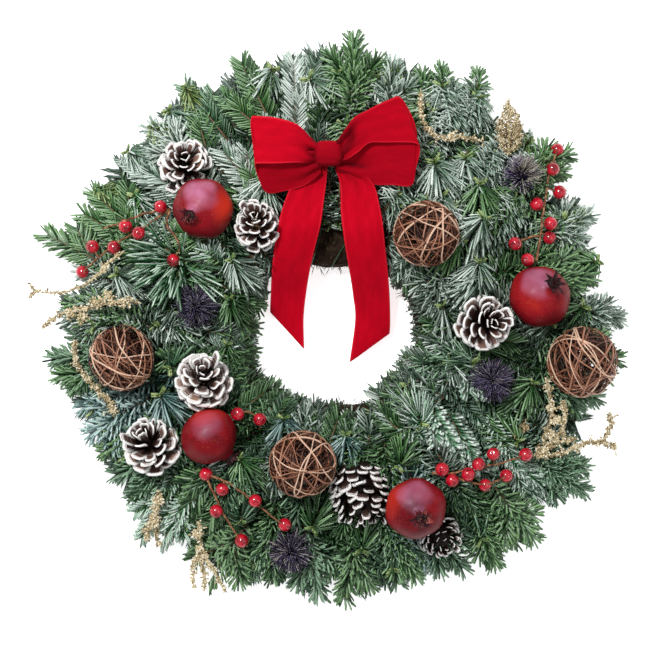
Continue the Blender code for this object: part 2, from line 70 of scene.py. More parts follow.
def addNode(tree, kind, settings):  # each setting is an input, by its number or name, or an attribute
    made = tree.nodes.new("ShaderNode" + kind)
    for name, value in settings.items():
        if name == "stops":  # a colour ramp's places and colours
            while len(made.color_ramp.elements) < len(value):
                made.color_ramp.elements.new(1)
            for element, (place, code) in zip(made.color_ramp.elements, value):
                element.position = place
                element.color = linear(code)
        elif name == "steps":
            made.color_ramp.interpolation = value
        elif isinstance(name, int) or name in made.inputs:
            feed(made.inputs[name], value)
        else:
            setattr(made, name, value)
    return made


def calc(tree, operation, *terms, clamp=False):
    return addNode(tree, "Math", {"operation": operation, "use_clamp": clamp, **dict(enumerate(terms))})


def mixed(tree, share, first, second):
    return addNode(tree, "Mix", {"data_type": "RGBA", 0: share, 6: first, 7: second})


def ramp(tree, source, *stops, steps="LINEAR"):
    return addNode(tree, "ValToRGB", {"stops": stops, "steps": steps, 0: source})


def mapped(tree, source, low, high, start=0.0, end=1.0, smooth=False):
    return addNode(tree, "MapRange", {
        "interpolation_type": "SMOOTHSTEP" if smooth else "LINEAR", "Value": source,
        "From Min": low, "From Max": high, "To Min": start, "To Max": end})


def noise(tree, place, scale, detail=2.0, rough=0.5):
    return addNode(tree, "TexNoise", {"Scale": scale, "Detail": detail, "Roughness": rough, "Vector": place})


def bumped(tree, height, strength, distance):
    return addNode(tree, "Bump", {"Strength": strength, "Distance": distance, "Height": height})


def stripPlace(tree):  # the UV place that each copy of a stamp was given, and its shares across and along
    place = addNode(tree, "UVMap", {"uv_map": "OFBake"})
    split = addNode(tree, "SeparateXYZ", {0: place})
    return place, split.outputs[0], split.outputs[1]


def fill(material, sockets):
    shader = material.node_tree.nodes["Principled BSDF"]
    for name, value in sockets.items():
        feed(shader.inputs[name], value)
    return material


def newMaterial(name, rough, gloss, others=None):
    material = bpy.data.materials.new(name)
    material.use_nodes = True
    fill(material, {"Roughness": rough, "Specular IOR Level": gloss, **(others or {})})
    return material, material.node_tree


def stripMaterial(name, rough, gloss, *stops):  # its colours lie along the strip
    material, tree = newMaterial(name, rough, gloss)
    return fill(material, {"Base Color": ramp(tree, stripPlace(tree)[1], *stops)})


def speckledMaterial(name, rough, gloss, scale, detail, *stops, others=None):  # its colours follow a noise
    material, tree = newMaterial(name, rough, gloss, others)
    grain = noise(tree, addNode(tree, "TexCoord", {}), scale, detail)
    return fill(material, {"Base Color": ramp(tree, grain, *stops)})


upward = np.array([0, 0, 1.0])


def unit(vectors):
    return vectors / np.maximum(np.linalg.norm(vectors, axis=-1, keepdims=True), 1e-9)


def scaled(vectors, lengths):
    return vectors * np.asarray(lengths)[..., None]


def spokes(angles):  # level vectors at these angles
    return np.stack([np.cos(angles), np.sin(angles), np.zeros(len(angles))], -1)


def turnTo(axis):
    return Vector(axis).normalized().to_track_quat("Z", "Y").to_matrix()


def arraysOf(shape, mapping):  # a bmesh as points, triangles and a UV place for each corner
    bmesh.ops.triangulate(shape, faces=shape.faces)
    shape.normal_update()
    shape.verts.index_update()
    points = np.array([vert.co for vert in shape.verts])
    faces = np.array([[vert.index for vert in face.verts] for face in shape.faces])
    places = np.array([[mapping(vert.co, face) for vert in face.verts] for face in shape.faces])
    shape.free()
    return points, faces, places


def spike(segments, radius, cuts):  # a cone along z, with rings of points between its base and tip
    shape = bmesh.new()
    bmesh.ops.create_cone(shape, cap_ends=True, cap_tris=False, segments=segments, radius1=radius, radius2=0,
                          depth=1, matrix=Matrix.Translation((0, 0, 0.5)))
    sides = [edge for edge in shape.edges if abs(edge.verts[0].co.z - edge.verts[1].co.z) > 0.5]
    bmesh.ops.subdivide_edges(shape, edges=sides, cuts=cuts)
    return shape


def thicken(shape, thickness):  # turns a sheet's faces towards y, then gives it its thickness
    if sum(face.normal.y for face in shape.faces) < 0:
        bmesh.ops.reverse_faces(shape, faces=shape.faces)
    bmesh.ops.solidify(shape, geom=shape.faces[:], thickness=thickness)
    bmesh.ops.recalc_face_normals(shape, faces=shape.faces)


def layCopies(stamp, bands, base, along, face, size, tone, band=0, bend=None):
    # Copies of a stamp: z runs along each one, y towards its face, and size is length, width, depth
    points, faces, places = stamp
    count = len(base)
    side = unit(np.cross(face, along))
    face = np.cross(along, side)
    length, width, depth = (np.broadcast_to(np.asarray(s, float), (count,)) for s in size)
    made = base[:, None] + along[:, None] * (length[:, None] * points[:, 2])[..., None]
    made = made + side[:, None] * (width[:, None] * points[:, 0])[..., None]
    made = made + face[:, None] * (depth[:, None] * points[:, 1])[..., None]
    if bend is not None:
        made = made + bend[:, None] * (points[:, 2] ** 2)[None, :, None]
    tones = np.clip(np.asarray(tone)[:, None, None] + places[None, ..., 0], 0, 1)
    across = (np.broadcast_to(band, (count,))[:, None, None] + 0.08 + 0.84 * tones) / bands
    up = np.broadcast_to(places[None, ..., 1], across.shape)
    corners = faces[None] + (np.arange(count) * len(points))[:, None, None]
    return made.reshape(-1, 3), corners.reshape(-1, 3), np.stack([across, up], -1).reshape(-1, 3, 2)


def layTurned(turn, centre, stamp, base, along, face, size, tone, bend=None):
    # The same in the upright frame of an ornament that leans
    turn = np.array(turn).T
    return layCopies(stamp, 1, base @ turn + centre, along @ turn, face @ turn, size, tone, 0,
                     None if bend is None else bend @ turn)


def sweep(lines, sides=6, cyclic=False, tone=(0.5, 0.5)):
    # Round bars along lines of points with a radius at each, as one set of arrays
    curve = bpy.data.curves.new("sweep", "CURVE")
    curve.dimensions = "3D"
    curve.bevel_depth = 1
    curve.bevel_resolution = (sides - 4) // 2
    curve.use_fill_caps = True
    for points, radii in lines:
        spline = curve.splines.new("POLY")
        spline.points.add(len(points) - 1)
        spline.points.foreach_set("co", np.c_[points, np.ones(len(points))].ravel())
        spline.points.foreach_set("radius", np.broadcast_to(radii, (len(points),)).astype(float))
        spline.use_cyclic_u = cyclic
    holder = bpy.data.objects.new("sweep", curve)
    bpy.context.scene.collection.objects.link(holder)
    graph = bpy.context.evaluated_depsgraph_get()
    mesh = bpy.data.meshes.new_from_object(holder.evaluated_get(graph))
    bpy.data.objects.remove(holder)
    bpy.data.curves.remove(curve)
    shape = bmesh.new()
    shape.from_mesh(mesh)
    bpy.data.meshes.remove(mesh)
    bmesh.ops.remove_doubles(shape, verts=shape.verts, dist=1e-6)
    return arraysOf(shape, lambda point, face: tone)


def joinArrays(parts):
    start, points, faces, places = 0, [], [], []
    for part in parts:
        points.append(part[0])
        faces.append(part[1] + start)
        places.append(part[2])
        start += len(part[0])
    return np.concatenate(points), np.concatenate(faces), np.concatenate(places)


def makePiece(name, parts, material, replaced=(), smooth=True):
    points, faces, places = joinArrays(parts)
    mesh = bpy.data.meshes.new(name)
    mesh.vertices.add(len(points))
    mesh.vertices.foreach_set("co", points.astype(np.float32).ravel())
    mesh.loops.add(faces.size)
    mesh.loops.foreach_set("vertex_index", faces.astype(np.int32).ravel())
    mesh.polygons.add(len(faces))
    mesh.polygons.foreach_set("loop_start", np.arange(0, faces.size, 3, dtype=np.int32))
    mesh.update(calc_edges=True)
    layer = mesh.uv_layers.new(name="OFBake")
    layer.uv.foreach_set("vector", places.astype(np.float32).ravel())
    mesh.polygons.foreach_set("use_smooth", np.full(len(faces), smooth))
    return settle(name, mesh, material, replaced)


def pieceOf(name, shape, material, replaced=()):  # a bmesh becomes a smooth piece
    mesh = bpy.data.meshes.new(name)
    shape.to_mesh(mesh)
    shape.free()
    mesh.polygons.foreach_set("use_smooth", np.ones(len(mesh.polygons), bool))
    return settle(name, mesh, material, replaced)


def settle(name, mesh, material, replaced=()):  # links a finished mesh and lets it ride
    piece = bpy.data.objects.new(name, mesh)
    bpy.context.scene.collection.objects.link(piece)
    mesh.materials.clear()
    mesh.materials.append(material)
    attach(piece, "root")
    if replaced:
        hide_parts(*replaced)
    return piece


def freeze(piece):  # applies the live modifiers to the mesh
    old = piece.data
    made = bpy.data.meshes.new_from_object(piece.evaluated_get(bpy.context.evaluated_depsgraph_get()))
    piece.modifiers.clear()
    piece.data = made
    made.name = piece.name
    made.polygons.foreach_set("use_smooth", np.ones(len(made.polygons), bool))
    bpy.data.meshes.remove(old)


def middleOf(node):
    low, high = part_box(node)
    return np.array((low + high) / 2), np.array(high - low)


def named(start):
    return sorted(name for name in nodes if name.startswith(start))


def camel(name):
    first, *rest = name.split("_")
    return first + "".join(word.capitalize() for word in rest)


# Heights over the plan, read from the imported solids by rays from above

gridReach = 0.33  # half the side of the square that the grids cover, in m
firPitch, coverPitch = 4 * mm, 1.5 * mm


def treeOf(name):
    mesh = nodes[name].data
    return BVHTree.FromPolygons([v.co for v in mesh.vertices], [p.vertices for p in mesh.polygons])


def topAt(tree, x, y):  # -1 where the ray meets nothing
    hit = tree.ray_cast(Vector((x, y, 0.3)), Vector((0, 0, -1)))[0]
    return -1.0 if hit is None else hit.z


def heightGrid(names, pitch):
    count = int(2 * gridReach / pitch) + 1
    grid = np.full((count, count), -1.0)
    for name in names:
        tree, (low, high) = treeOf(name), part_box(name)
        first = [max(int((low[k] + gridReach) / pitch), 0) for k in (0, 1)]
        last = [min(int((high[k] + gridReach) / pitch) + 2, count) for k in (0, 1)]
        for i in range(first[0], last[0]):
            for j in range(first[1], last[1]):
                grid[i, j] = max(grid[i, j], topAt(tree, i * pitch - gridReach, j * pitch - gridReach))
    return grid


def lookUp(grid, pitch, points):
    spots = np.clip(np.rint((points[..., :2] + gridReach) / pitch).astype(int), 0, len(grid) - 1)
    return grid[spots[..., 0], spots[..., 1]]


def widest(grid, steps, pick):
    for _ in range(steps):
        grid = pick.reduce([np.roll(grid, shift, axis) for axis in (0, 1) for shift in (-1, 0, 1)])
    return grid


firNodes = named("fir_bunch")
firHeights = heightGrid(firNodes, firPitch)
filled = widest(widest(firHeights, 9, np.maximum), 9, np.minimum)  # as if no room were cut for the ornaments
firHeights = np.where(filled > 0, filled, firHeights)
covers = []  # heights of what lies on the fir, and how far below each the needles must stay
for starts, wider, room in ((("pine_cone", "pomegranate", "thistle", "berry"), 0, 4 * mm),
                            (("bow_",), 1, 22 * mm), (("gold", "pale_spray", "cream_spray"), 2, 3 * mm)):
    heights = heightGrid([node for start in starts for node in named(start)], coverPitch)
    covers.append((widest(heights, wider, np.maximum), room))
vineSpots = [middleOf(name) for name in named("vine_ball")]
print("heights read")


def firTop(points):
    return lookUp(firHeights, firPitch, points)


def blocked(points):  # true where a point lies over an ornament or inside a vine ball
    found = np.zeros(points.shape[:-1], bool)
    for grid, room in covers:
        cover = lookUp(grid, coverPitch, points)
        found |= (cover > 0) & (points[..., 2] > cover - room)
    for centre, size in vineSpots:
        away, radius = points - centre, 0.46 * size[0]
        found |= (np.hypot(away[..., 0], away[..., 1]) < radius) & (away[..., 2] > -0.2 * size[0])
        found |= np.linalg.norm(away, axis=-1) < radius
    return found


# Fir: every sprig is a twig with bent three-sided needles, in one piece for each bound bunch

firKinds = {  # dark, light, underside and tip of each kind of needle, in the order of the palette's bands
    "noble": ("#0E281A", "#789E80", "#EAF2EC", "#C6DACA"),
    "deep": ("#0A2614", "#3C7046", "#A8C4A8", "#84AA86"),
    "green": ("#0A2A12", "#3F7A3A", "#A9C4A2", "#74A05C"),
    "pine": ("#08341A", "#2F7A42", "#DCE8DC", "#7FAE85"),
    "flocked": ("#052E14", "#1F7A3A", "#98C8A2", "#FFFFFF"),
    "teal": ("#0E322E", "#6A9E96", "#DCECE8", "#B4D6CE"),
    "heart": ("#3C5A28", "#84A058", "#B4C48C", "#A6B878"),
    "wood": ("#2E2016", "#80633F", "#80633F", "#80633F"),
}
kindBands = {kind: band for band, kind in enumerate(firKinds)}


def firMaterial():
    # Living fir needles: waxy and flat, so each has a soft satin gleam, with a pale bloom below
    material, tree = newMaterial("firNeedle", 0.45, 0.4)
    _, across, up = stripPlace(tree)
    count = len(firKinds)
    dark, light, underside, tip = (
        ramp(tree, across, *((band / count, codes[tint]) for band, codes in enumerate(firKinds.values())),
             steps="CONSTANT") for tint in range(4))
    tone = calc(tree, "FRACT", calc(tree, "MULTIPLY", across, float(count)))
    below = calc(tree, "GREATER_THAN", up, 0.5)  # the strip's second half holds the underside
    pale = calc(tree, "MULTIPLY", calc(tree, "MULTIPLY_ADD", tone, 1.35, -0.2, clamp=True), below, clamp=True)
    sides = mixed(tree, pale, mixed(tree, tone, dark, light), underside)
    along = calc(tree, "FRACT", calc(tree, "MULTIPLY", up, 2.0))
    ending = calc(tree, "MULTIPLY", mapped(tree, along, 0.5, 0.7, end=0.95), tone)
    return fill(material, {"Base Color": mixed(tree, ending, sides, tip)})


def needleStamp(cuts, widths, heights):
    shape = spike(3, 1, cuts)
    for vert in shape.verts:
        step = round(vert.co.z * (cuts + 1))
        spoke = Vector((vert.co.x, vert.co.y)).normalized() * widths[step]
        ridge = 0.13 * widths[step] * (spoke.y > 0.5 * widths[step])  # off the middle, for a broad pale edge
        vert.co = (spoke.x * 0.577 + ridge, spoke.y * 0.5, heights[step])

    def mapping(point, face):
        if face.normal.y < -0.6 and face.normal.z > -0.6:
            return 0.0, 0.55 + 0.4 * point.z  # the pale underside
        # this side face is painted darker, as shade
        if face.normal.x > 0:
            return -0.35, 0.05 + 0.4 * point.z
        edge = point.x < -0.1  # a pale edge: partly the stomata, partly a painted highlight
        return (0.25, 0.75 + 0.2 * point.z) if edge else (-0.05, 0.05 + 0.4 * point.z)

    return arraysOf(shape, mapping)


firStamp = needleStamp(2, (0.6, 1, 0.9, 0), (0, 0.3, 0.9, 1))
plainStamp = needleStamp(1, (0.8, 1, 0), (0, 0.7, 1))

# Needle length and width in mm, lean from the twig at base and tip, needles for each mm of twig, ranks,
# roll, the least and most that they rise from flat, the bend forwards and the share of young needles
sprigStyles = {
    "comb": (17, 2.0, (64, 44), 1.45, 2, 8, (-8, 42), 0.2, 0.0),
    "plume": (24, 2.3, (96, 58), 1.6, 3, 9, (-14, 84), -0.42, 0.3),
    "brush": (18, 2.2, (84, 40), 1.65, 4, 12, (-25, 88), 0.12, 0.08),
    "rosette": (28, 2.4, (104, 66), 3.1, 4, 7, (-6, 84), -0.72, 0.85),
    "flocked": (14, 2.6, (74, 42), 1.75, 3, 14, (-20, 70), 0.12, 0.0),
    "pine": (36, 2.6, (62, 18), 0.9, 4, 16, (-40, 90), 0.22, 0.0),
    "under": (24, 3.0, (66, 40), 1.15, 3, 30, (-28, 30), 0.2, 0.0),
}
bunches = [{"parts": [], "twigs": [], "needles": 0} for _ in firNodes]
draws = np.random.default_rng(24)


def bunchAt(point):
    return bunches[int(math.degrees(math.atan2(point[1], point[0])) % 360 // (360 / len(bunches)))]


def laySprig(start, end, kind="noble", style="comb", arch=4, flip=False, brightness=0.0, scale=1.0,
             stamp=firStamp, twig=1.4):
    # Needles along a twig from start to end in mm; place runs from 0 at its base to 1 at its tip
    needle, wide, lean, each, ranks, roll, (low, high), forwards, youth = sprigStyles[style]
    start, end = np.asarray(start, float) * mm, np.asarray(end, float) * mm
    bunch = bunchAt(start)
    run = np.linalg.norm(end - start)
    count = int(each * run / mm)
    order = np.arange(count)
    place = 1 - 0.98 * ((order + draws.random(count)) / max(count, 1)) ** 1.12
    rise = np.array([0, 0, arch * mm])

    def arched(shares):
        return start + (end - start) * shares[:, None] + rise * (4 * shares * (1 - shares))[:, None]

    base = arched(place)
    axis = unit((end - start) + rise * (4 - 8 * place)[:, None])
    up = unit(upward - axis * axis[:, 2:])
    side = np.cross(axis, up)
    rank = (order // 2 % ranks + 0.5) / ranks
    lift = np.radians(low + (high - low) * rank ** 1.3 + draws.normal(0, 6, count))
    radial = scaled(up, np.sin(lift)) + scaled(side, np.where(order % 2, 1.0, -1.0) * np.cos(lift))
    lean = np.radians(lean[0] + (lean[1] - lean[0]) * place ** 1.3
                      + draws.normal(0, 1, count) * (3 + 8 * place ** 3))
    young = draws.random(count) < youth * np.clip(place * 8 - 6.6, 0, 1)
    lean = np.where(young, np.radians(42), lean)
    along = unit(scaled(axis, np.cos(lean)) + scaled(radial, np.sin(lean)))
    long = needle * mm * scale * (0.82 + 0.2 * np.sin(np.pi * np.minimum(place * 0.8 + 0.1, 1)))
    long = long * (1 - 0.12 * place ** 3) * draws.uniform(0.82, 1.14, count)
    face = unit(np.array([0, 0, 0.9]) + radial * 0.4) * (-1 if flip else 1)
    turned = draws.normal(0, np.radians(roll), count)
    across = unit(np.cross(face, along))
    face = scaled(np.cross(along, across), np.cos(turned)) + scaled(across, np.sin(turned))
    shadedDepth = firTop(base) - (base + scaled(along, long * 0.5))[:, 2]  # needles deep inside the fir get painted shade, darker the deeper they lie
    usual = 0.52 + brightness + 0.3 * (kind == "flocked")
    tone = np.clip(draws.normal(usual, 0.31, count) - 0.6 * np.clip(shadedDepth / (26 * mm) - 0.35, 0, 1), 0, 1)
    long = np.where(young, 0.5 * long, long)
    bend = scaled(axis, long * forwards * np.where(young, 0.3, 1))
    bend = bend + scaled(up, long * draws.uniform(-0.02, 0.08, count))
    band = np.where(young, kindBands["heart"], kindBands[kind])
    width = wide * mm * draws.uniform(0.85, 1.15, count)
    keep = (base + scaled(along, long) + bend)[:, 2] > 1.5 * mm
    for share in (0.3, 0.6, 0.95):
        keep &= ~blocked(base + scaled(along, long * share) + bend * share ** 2)
    if keep.any():
        base, along, face, long, width, tone, band, bend = (
            a[keep] for a in (base, along, face, long, width, tone, band, bend))
        bunch["parts"].append(layCopies(stamp, len(firKinds), base, along, face, (long, width, width * 0.6),
                                        tone, band, bend))
        bunch["needles"] += len(base)
    steps = np.linspace(0, 1, 7)
    line = arched(steps)
    clear = ~blocked(line)
    if clear[:3].all():
        stop = len(steps) if clear.all() else int(np.argmin(clear))
        bunch["twigs"].append((line[:stop], (twig - 0.6 * twig * steps[:stop]) * mm))


def pickAt(zones, x, y, usual):
    for zoneX, zoneY, reach, value in zones:
        if math.hypot(x - zoneX, y - zoneY) < reach:
            return value
    return usual


kindZones = (  # middle and reach in mm of each place where another kind of fir was bound in
    (-285, 92, 40, "green"), (-240, 125, 26, "green"), (-159, 46, 30, "green"), (-205, 128, 32, "flocked"),
    (130, -105, 46, "flocked"), (195, -172, 46, "flocked"), (-130, -222, 34, "green"),
    (-186, -216, 28, "flocked"), (-172, -78, 28, "teal"), (-235, -100, 32, "teal"), (23, 285, 26, "green"),
    (-5, -145, 45, "green"), (75, -100, 34, "green"), (100, -222, 40, "teal"), (235, 62, 40, "green"),
    (10, -235, 40, "green"), (-60, 0, 30, "green"), (170, -60, 30, "green"), (255, 150, 40, "green"),
    (-95, 268, 22, "green"),
)
styleZones = (
    (-285, 92, 40, "comb"), (23, 285, 26, "brush"), (-110, 200, 75, "comb"), (-200, 150, 50, "comb"),
    (130, -105, 46, "flocked"), (195, -172, 46, "flocked"), (-130, -222, 40, "comb"),
    (-182, -212, 34, "flocked"), (-205, 128, 32, "flocked"), (120, 160, 120, "plume"), (0, -220, 90, "brush"),
    (250, 60, 60, "brush"), (-40, 250, 60, "comb"),
)


def kindAt(x, y):  # the lower half is greener
    shares = (0.74, 0.06, 0.2) if y > -20 else (0.16, 0.42, 0.42) if y > -180 else (0.04, 0.56, 0.4)
    return pickAt(kindZones, x, y, draws.choice(("noble", "deep", "green"), p=shares))


def polar(radius, degrees, height=0.0):
    turn = math.radians(degrees)
    return np.array((radius * math.cos(turn), radius * math.sin(turn), height))


def depthAt(point, depth, lowest):  # a height in mm this far below the top of the fir
    return max(float(firTop(np.asarray(point)[None] * mm)[0]) / mm - depth, lowest)


def layBranch(start, end, kind, style, shoots, **rest):  # a sprig with side shoots half way
    laySprig(start, end, kind, style, **rest)
    run = end - start
    for number in range(shoots):
        turn = math.radians(draws.uniform(24, 42)) * (1 if number % 2 else -1)
        share = draws.uniform(0.28, 0.5)
        foot = start + run * share
        way = np.array((run[0] * math.cos(turn) - run[1] * math.sin(turn),
                        run[0] * math.sin(turn) + run[1] * math.cos(turn), run[2]))
        laySprig(foot, foot + way * (0.92 - share) * draws.uniform(0.75, 0.95), kind, style, **rest)


def layTuft(x, y, tilt, long, depths, kind, style, **rest):  # a short sprig near the top of the fir
    foot = np.array((x, y, 0.0))
    end = foot + polar(long, tilt)
    foot[2], end[2] = depthAt(foot, depths[0], 20), depthAt(end, depths[1], 20)
    laySprig(foot, end, kind, style, **rest)


def layRosette(x, y, kind, width, tilt, depth=3):
    # A sprig end that faces the viewer, its needles fanned below its heart
    top = depthAt((x, y), depth, 22)
    foot = np.array((x, y, top)) - polar(1, tilt) * 24 - (0, 0, min(17, top - 5))
    shaded = math.hypot(x, y) < 118 or y < -190
    brightness = draws.uniform(0.06, 0.2) + (0.13 if y > 60 else -0.12) - 0.2 * shaded
    laySprig(foot, (x, y, top), kind, "rosette", arch=2, scale=width / 46, brightness=brightness, twig=1.2)


rimTips = (  # where the rim's sprigs end, in mm
    (23, 292), (-94, 270), (-152, 244), (-187, 202), (-212, 168), (-246, 134), (-257, 112), (-295, 90),
    (-287, -38), (-257, -88), (-237, -133), (-224, -158), (-207, -180), (-197, -223), (-177, -230),
    (-128, -270), (-86, -262), (-62, -263), (-14, -282), (13, -286), (68, -270), (86, -263), (98, -253),
    (168, -249), (208, -223), (260, -174), (255, -148), (274, -78), (293, -38), (297, 4), (268, 47),
    (265, 110), (243, 174), (208, 187), (153, 247), (113, 254), (63, 267), (-40, 272), (-270, 20),
    (-282, -55), (-250, -115), (283, -55), (232, -182), (135, -255), (-144, -246), (-268, -62), (278, -20),
    (190, -226), (225, 150), (-20, 268), (-272, 5),
)

# Sprig ends that face the viewer: place of the heart, width in mm, kind, and the way that each leans
rosettes = (
    (110, 236, 54, "noble", 88), (45, 246, 40, "noble", 100), (146, 226, 42, "noble", 80),
    (101, 159, 50, "noble", 110), (133, 164, 44, "noble", 90), (147, 138, 46, "green", 85),
    (150, 104, 44, "noble", 60), (146, 60, 44, "noble", 80), (252, 16, 44, "green", 40),
    (-23, 244, 50, "noble", 130), (5, 250, 42, "green", 90), (-60, 254, 44, "noble", 70),
    (-171, -72, 46, "teal", 120), (-48, -96, 40, "teal", 90), (14, -112, 34, "teal", 90),
    (75, -62, 40, "green", 120), (-240, -90, 46, "green", 160), (236, -86, 42, "green", 20),
    (268, 62, 40, "green", 20), (-102, 24, 34, "green", 100), (-104, -22, 34, "green", 80),
    (-100, 62, 36, "noble", 120), (116, -38, 40, "noble", 150), (110, 16, 42, "noble", 120),
    (30, -228, 46, "green", -90), (-20, -205, 44, "green", -110), (60, -248, 46, "deep", -70),
    (-82, -240, 44, "green", -110), (150, -218, 42, "deep", -60), (-238, -5, 42, "green", 180),
    (-215, 48, 40, "noble", 150), (-92, -135, 40, "green", 120), (234, 104, 42, "green", 30),
    (212, 165, 38, "noble", 50), (-165, 212, 40, "noble", 130), (-205, 172, 40, "noble", 140),
    (200, -60, 38, "green", 60),
)

# The lowest sprigs lie on the ground all round and hide it; their needles are painted dark, as shade under
# the fir above
for turn in range(54):
    angle = turn * 360 / 54 + draws.uniform(-3, 3)
    reach = 258 + draws.uniform(-8, 8)
    laySprig(polar(128, angle, 24), polar(reach, angle + draws.uniform(-6, 6), 12), "noble", "under",
             arch=2, brightness=-0.42, stamp=plainStamp, twig=2.2)
for turn in range(40):
    angle = turn * 9 + draws.uniform(-4, 4)
    laySprig(polar(112, angle, 38), polar(222, angle + draws.uniform(-9, 9), 32), "green", "under",
             arch=3, brightness=-0.4, stamp=plainStamp, twig=2.0)

# The rim
for x, y in rimTips:
    span = math.hypot(x, y)
    swing = polar(1, math.degrees(math.atan2(y, x)) + draws.uniform(-16, 16))
    style = pickAt(styleZones, x, y, "brush")
    tip = np.array((x, y, 0.0)) / span * (span - 9)
    start = tip - swing * draws.uniform(66, 82)
    start[2] = depthAt(start, 19, 12)
    tip[2] = draws.uniform(14, 28)
    layBranch(start, tip, kindAt(x, y), style, 1 if style == "comb" else 2, arch=5,
              flip=bool(draws.random() < 0.25), brightness=draws.uniform(-0.1, 0.12) + 0.12 * (y > 100))

# Rows from the outside in: radius at base and tip, number in each layer and swing. The lower layer
# is painted darker, as shade under the sprigs above it, so that they stand apart
firRows = (
    (205, 258, (40, 26), 14), (176, 236, (38, 24), 16), (146, 206, (34, 22), 20), (120, 174, (28, 18), 22),
    (112, 146, (22, 14), 22),
)
rowReach = ((4, 10, 28, 38, 48, 54, 60, 86, 93, 100),  # degrees, and how far out the rows reach there
            (1, 0.94, 0.935, 0.99, 1, 0.965, 1, 1, 0.965, 1))
rowGlow = ((-230, -190, -120, -60, 20, 66, 120),  # the top of the wreath is paler: y, and how much paler
           (-0.34, -0.3, -0.15, -0.14, -0.03, 0.2, 0.28))
rosetteRooms = [(x, y - 12, 27, True) for x, y, *_ in rosettes]
for layer, depths, gloom in ((0, (30, 19), -0.32), (1, (20, 7), 0.04)):
    for near, far, counts, swing in firRows:
        for turn in range(counts[layer]):
            angle = (turn + draws.uniform(-0.35, 0.35)) * 360 / counts[layer]
            start = polar(near + draws.uniform(-8, 8), angle)
            reach = far * np.interp(angle, *rowReach) + draws.uniform(-9, 9)
            end = polar(reach, angle + draws.uniform(-swing, swing) * 0.5)
            start[2], end[2] = depthAt(start, depths[0], 12), depthAt(end, depths[1], 14)
            x, y, _ = end
            style = pickAt(styleZones, x, y, draws.choice(("comb", "plume", "brush"), p=(0.3, 0.4, 0.3)))
            if layer == 1 and pickAt(rosetteRooms, x, y, False):
                continue
            glow = np.interp(y, *rowGlow) if layer == 1 else -0.12 * (y < 0)
            layBranch(start, end, kindAt(x, y), style, 1, arch=draws.uniform(1, 7),
                      flip=bool(draws.random() < 0.2), brightness=gloom + glow + draws.uniform(-0.2, 0.2),
                      scale=draws.uniform(0.88, 1.08))

# Round the hole, an ellipse: reach outside its edge at base and tip, number, height of the tip
holeMiddle, holeHalf = (3, -16), (84, 69)


def holeEdge(beyond, degrees, height):
    turn = math.radians(degrees)
    return np.array((holeMiddle[0] + (holeHalf[0] + beyond) * math.cos(turn),
                     holeMiddle[1] + (holeHalf[1] + beyond) * math.sin(turn), height))


for near, far, count, high in ((40, 0, 44, 16), (42, 1, 42, 30), (44, 6, 36, 44)):
    for turn in range(count):
        angle = turn * 360 / count + draws.uniform(-3, 3)
        if 62 < angle < 118 or (118 <= angle < 170 and turn % 2):
            continue  # the moss shows here
        start = holeEdge(near, angle + draws.uniform(-9, 9), 0.0)
        tip = far + 5 - 8 * (300 < angle < 345) + 6 * (10 < angle < 62) + 7 * (196 < angle < 222)
        tip = tip + 7 * (278 < angle < 300) + draws.uniform(-3, 3)
        end = holeEdge(tip, angle, high + draws.uniform(-4, 4))
        start[2] = depthAt(start, 12, high)
        laySprig(start, end, kindAt(*end[:2]), draws.choice(("comb", "brush")), arch=3,
                 brightness=draws.uniform(-0.34, -0.12))

for x, tip in ((-9, 101), (-2, 95), (6, 97), (14, 102)):  # sprigs that hang between the ribbon's tails
    laySprig((1.4 * x, 150.0, 52.0), (x, tip, 45.0), "noble", "plume", arch=3, brightness=-0.16)

for x, y, width, kind, tilt in rosettes:
    layRosette(x, y, kind, width, tilt, -5 if x > 80 and y > 100 else -1)
for x, y, tilt, long in ((110, 228, 88, 26), (145, 220, 86, 30), (93, 226, 95, 24), (101, 156, 100, 10),
                         (133, 160, 80, 12)):  # the green ends above the boldest fans
    layTuft(x, y, tilt, long, (3, 1), "green", "brush", arch=2, scale=0.75, brightness=0.1)
for turn in range(22):
    x, y, _ = polar(draws.uniform(135, 250), turn * 360 / 22)
    outward = math.degrees(math.atan2(y, x))
    layRosette(x, y, kindAt(x, y), draws.uniform(36, 46), outward + draws.uniform(-50, 50))

# Yellow-green winter buds at the rim
for x, y in ((-150, 240), (-184, 200), (-240, 136), (258, 110), (203, 186), (64, 262)):
    span = math.hypot(x, y)
    tip = np.array((x, y, 26.0)) * (1 - 4 / span, 1 - 4 / span, 1)
    laySprig(tip * (1 - 16 / span, 1 - 16 / span, 1), tip, "heart", "rosette", arch=1, scale=0.5,
             brightness=-0.1)

for angle in (150, 190, 225, 260, 300):  # the tuft of long pine needles
    layTuft(-150, 64, angle, 24, (12, -2), "pine", "pine", arch=3)

firSurface = firMaterial()
for number, bunch in enumerate(bunches):
    wood = sweep(bunch["twigs"], 6, tone=((kindBands["wood"] + 0.5) / len(firKinds), 0.25))
    makePiece(f"firBunch{number + 1:02d}", bunch["parts"] + [wood], firSurface, (firNodes[number],))
print("fir laid,", sum(bunch["needles"] for bunch in bunches), "needles")


# Moss base, with its wires

mossSettings = {"fibres": 5200, "long": 7.5, "wide": 0.7, "lump": 3.2}


def mossMaterial():
    # Dried sphagnum and root fibre: matt, nearly black between strands
    material, tree = newMaterial("driedMoss", 0.95, 0.15)
    grain = noise(tree, addNode(tree, "TexCoord", {}), 90.0, 6.0, 0.7)
    colour = ramp(tree, grain, (0.3, "#120D08"), (0.55, "#302318"), (0.75, "#4A3C28"))
    return fill(material, {"Base Color": colour, "Normal": bumped(tree, grain, 0.9, 0.003)})


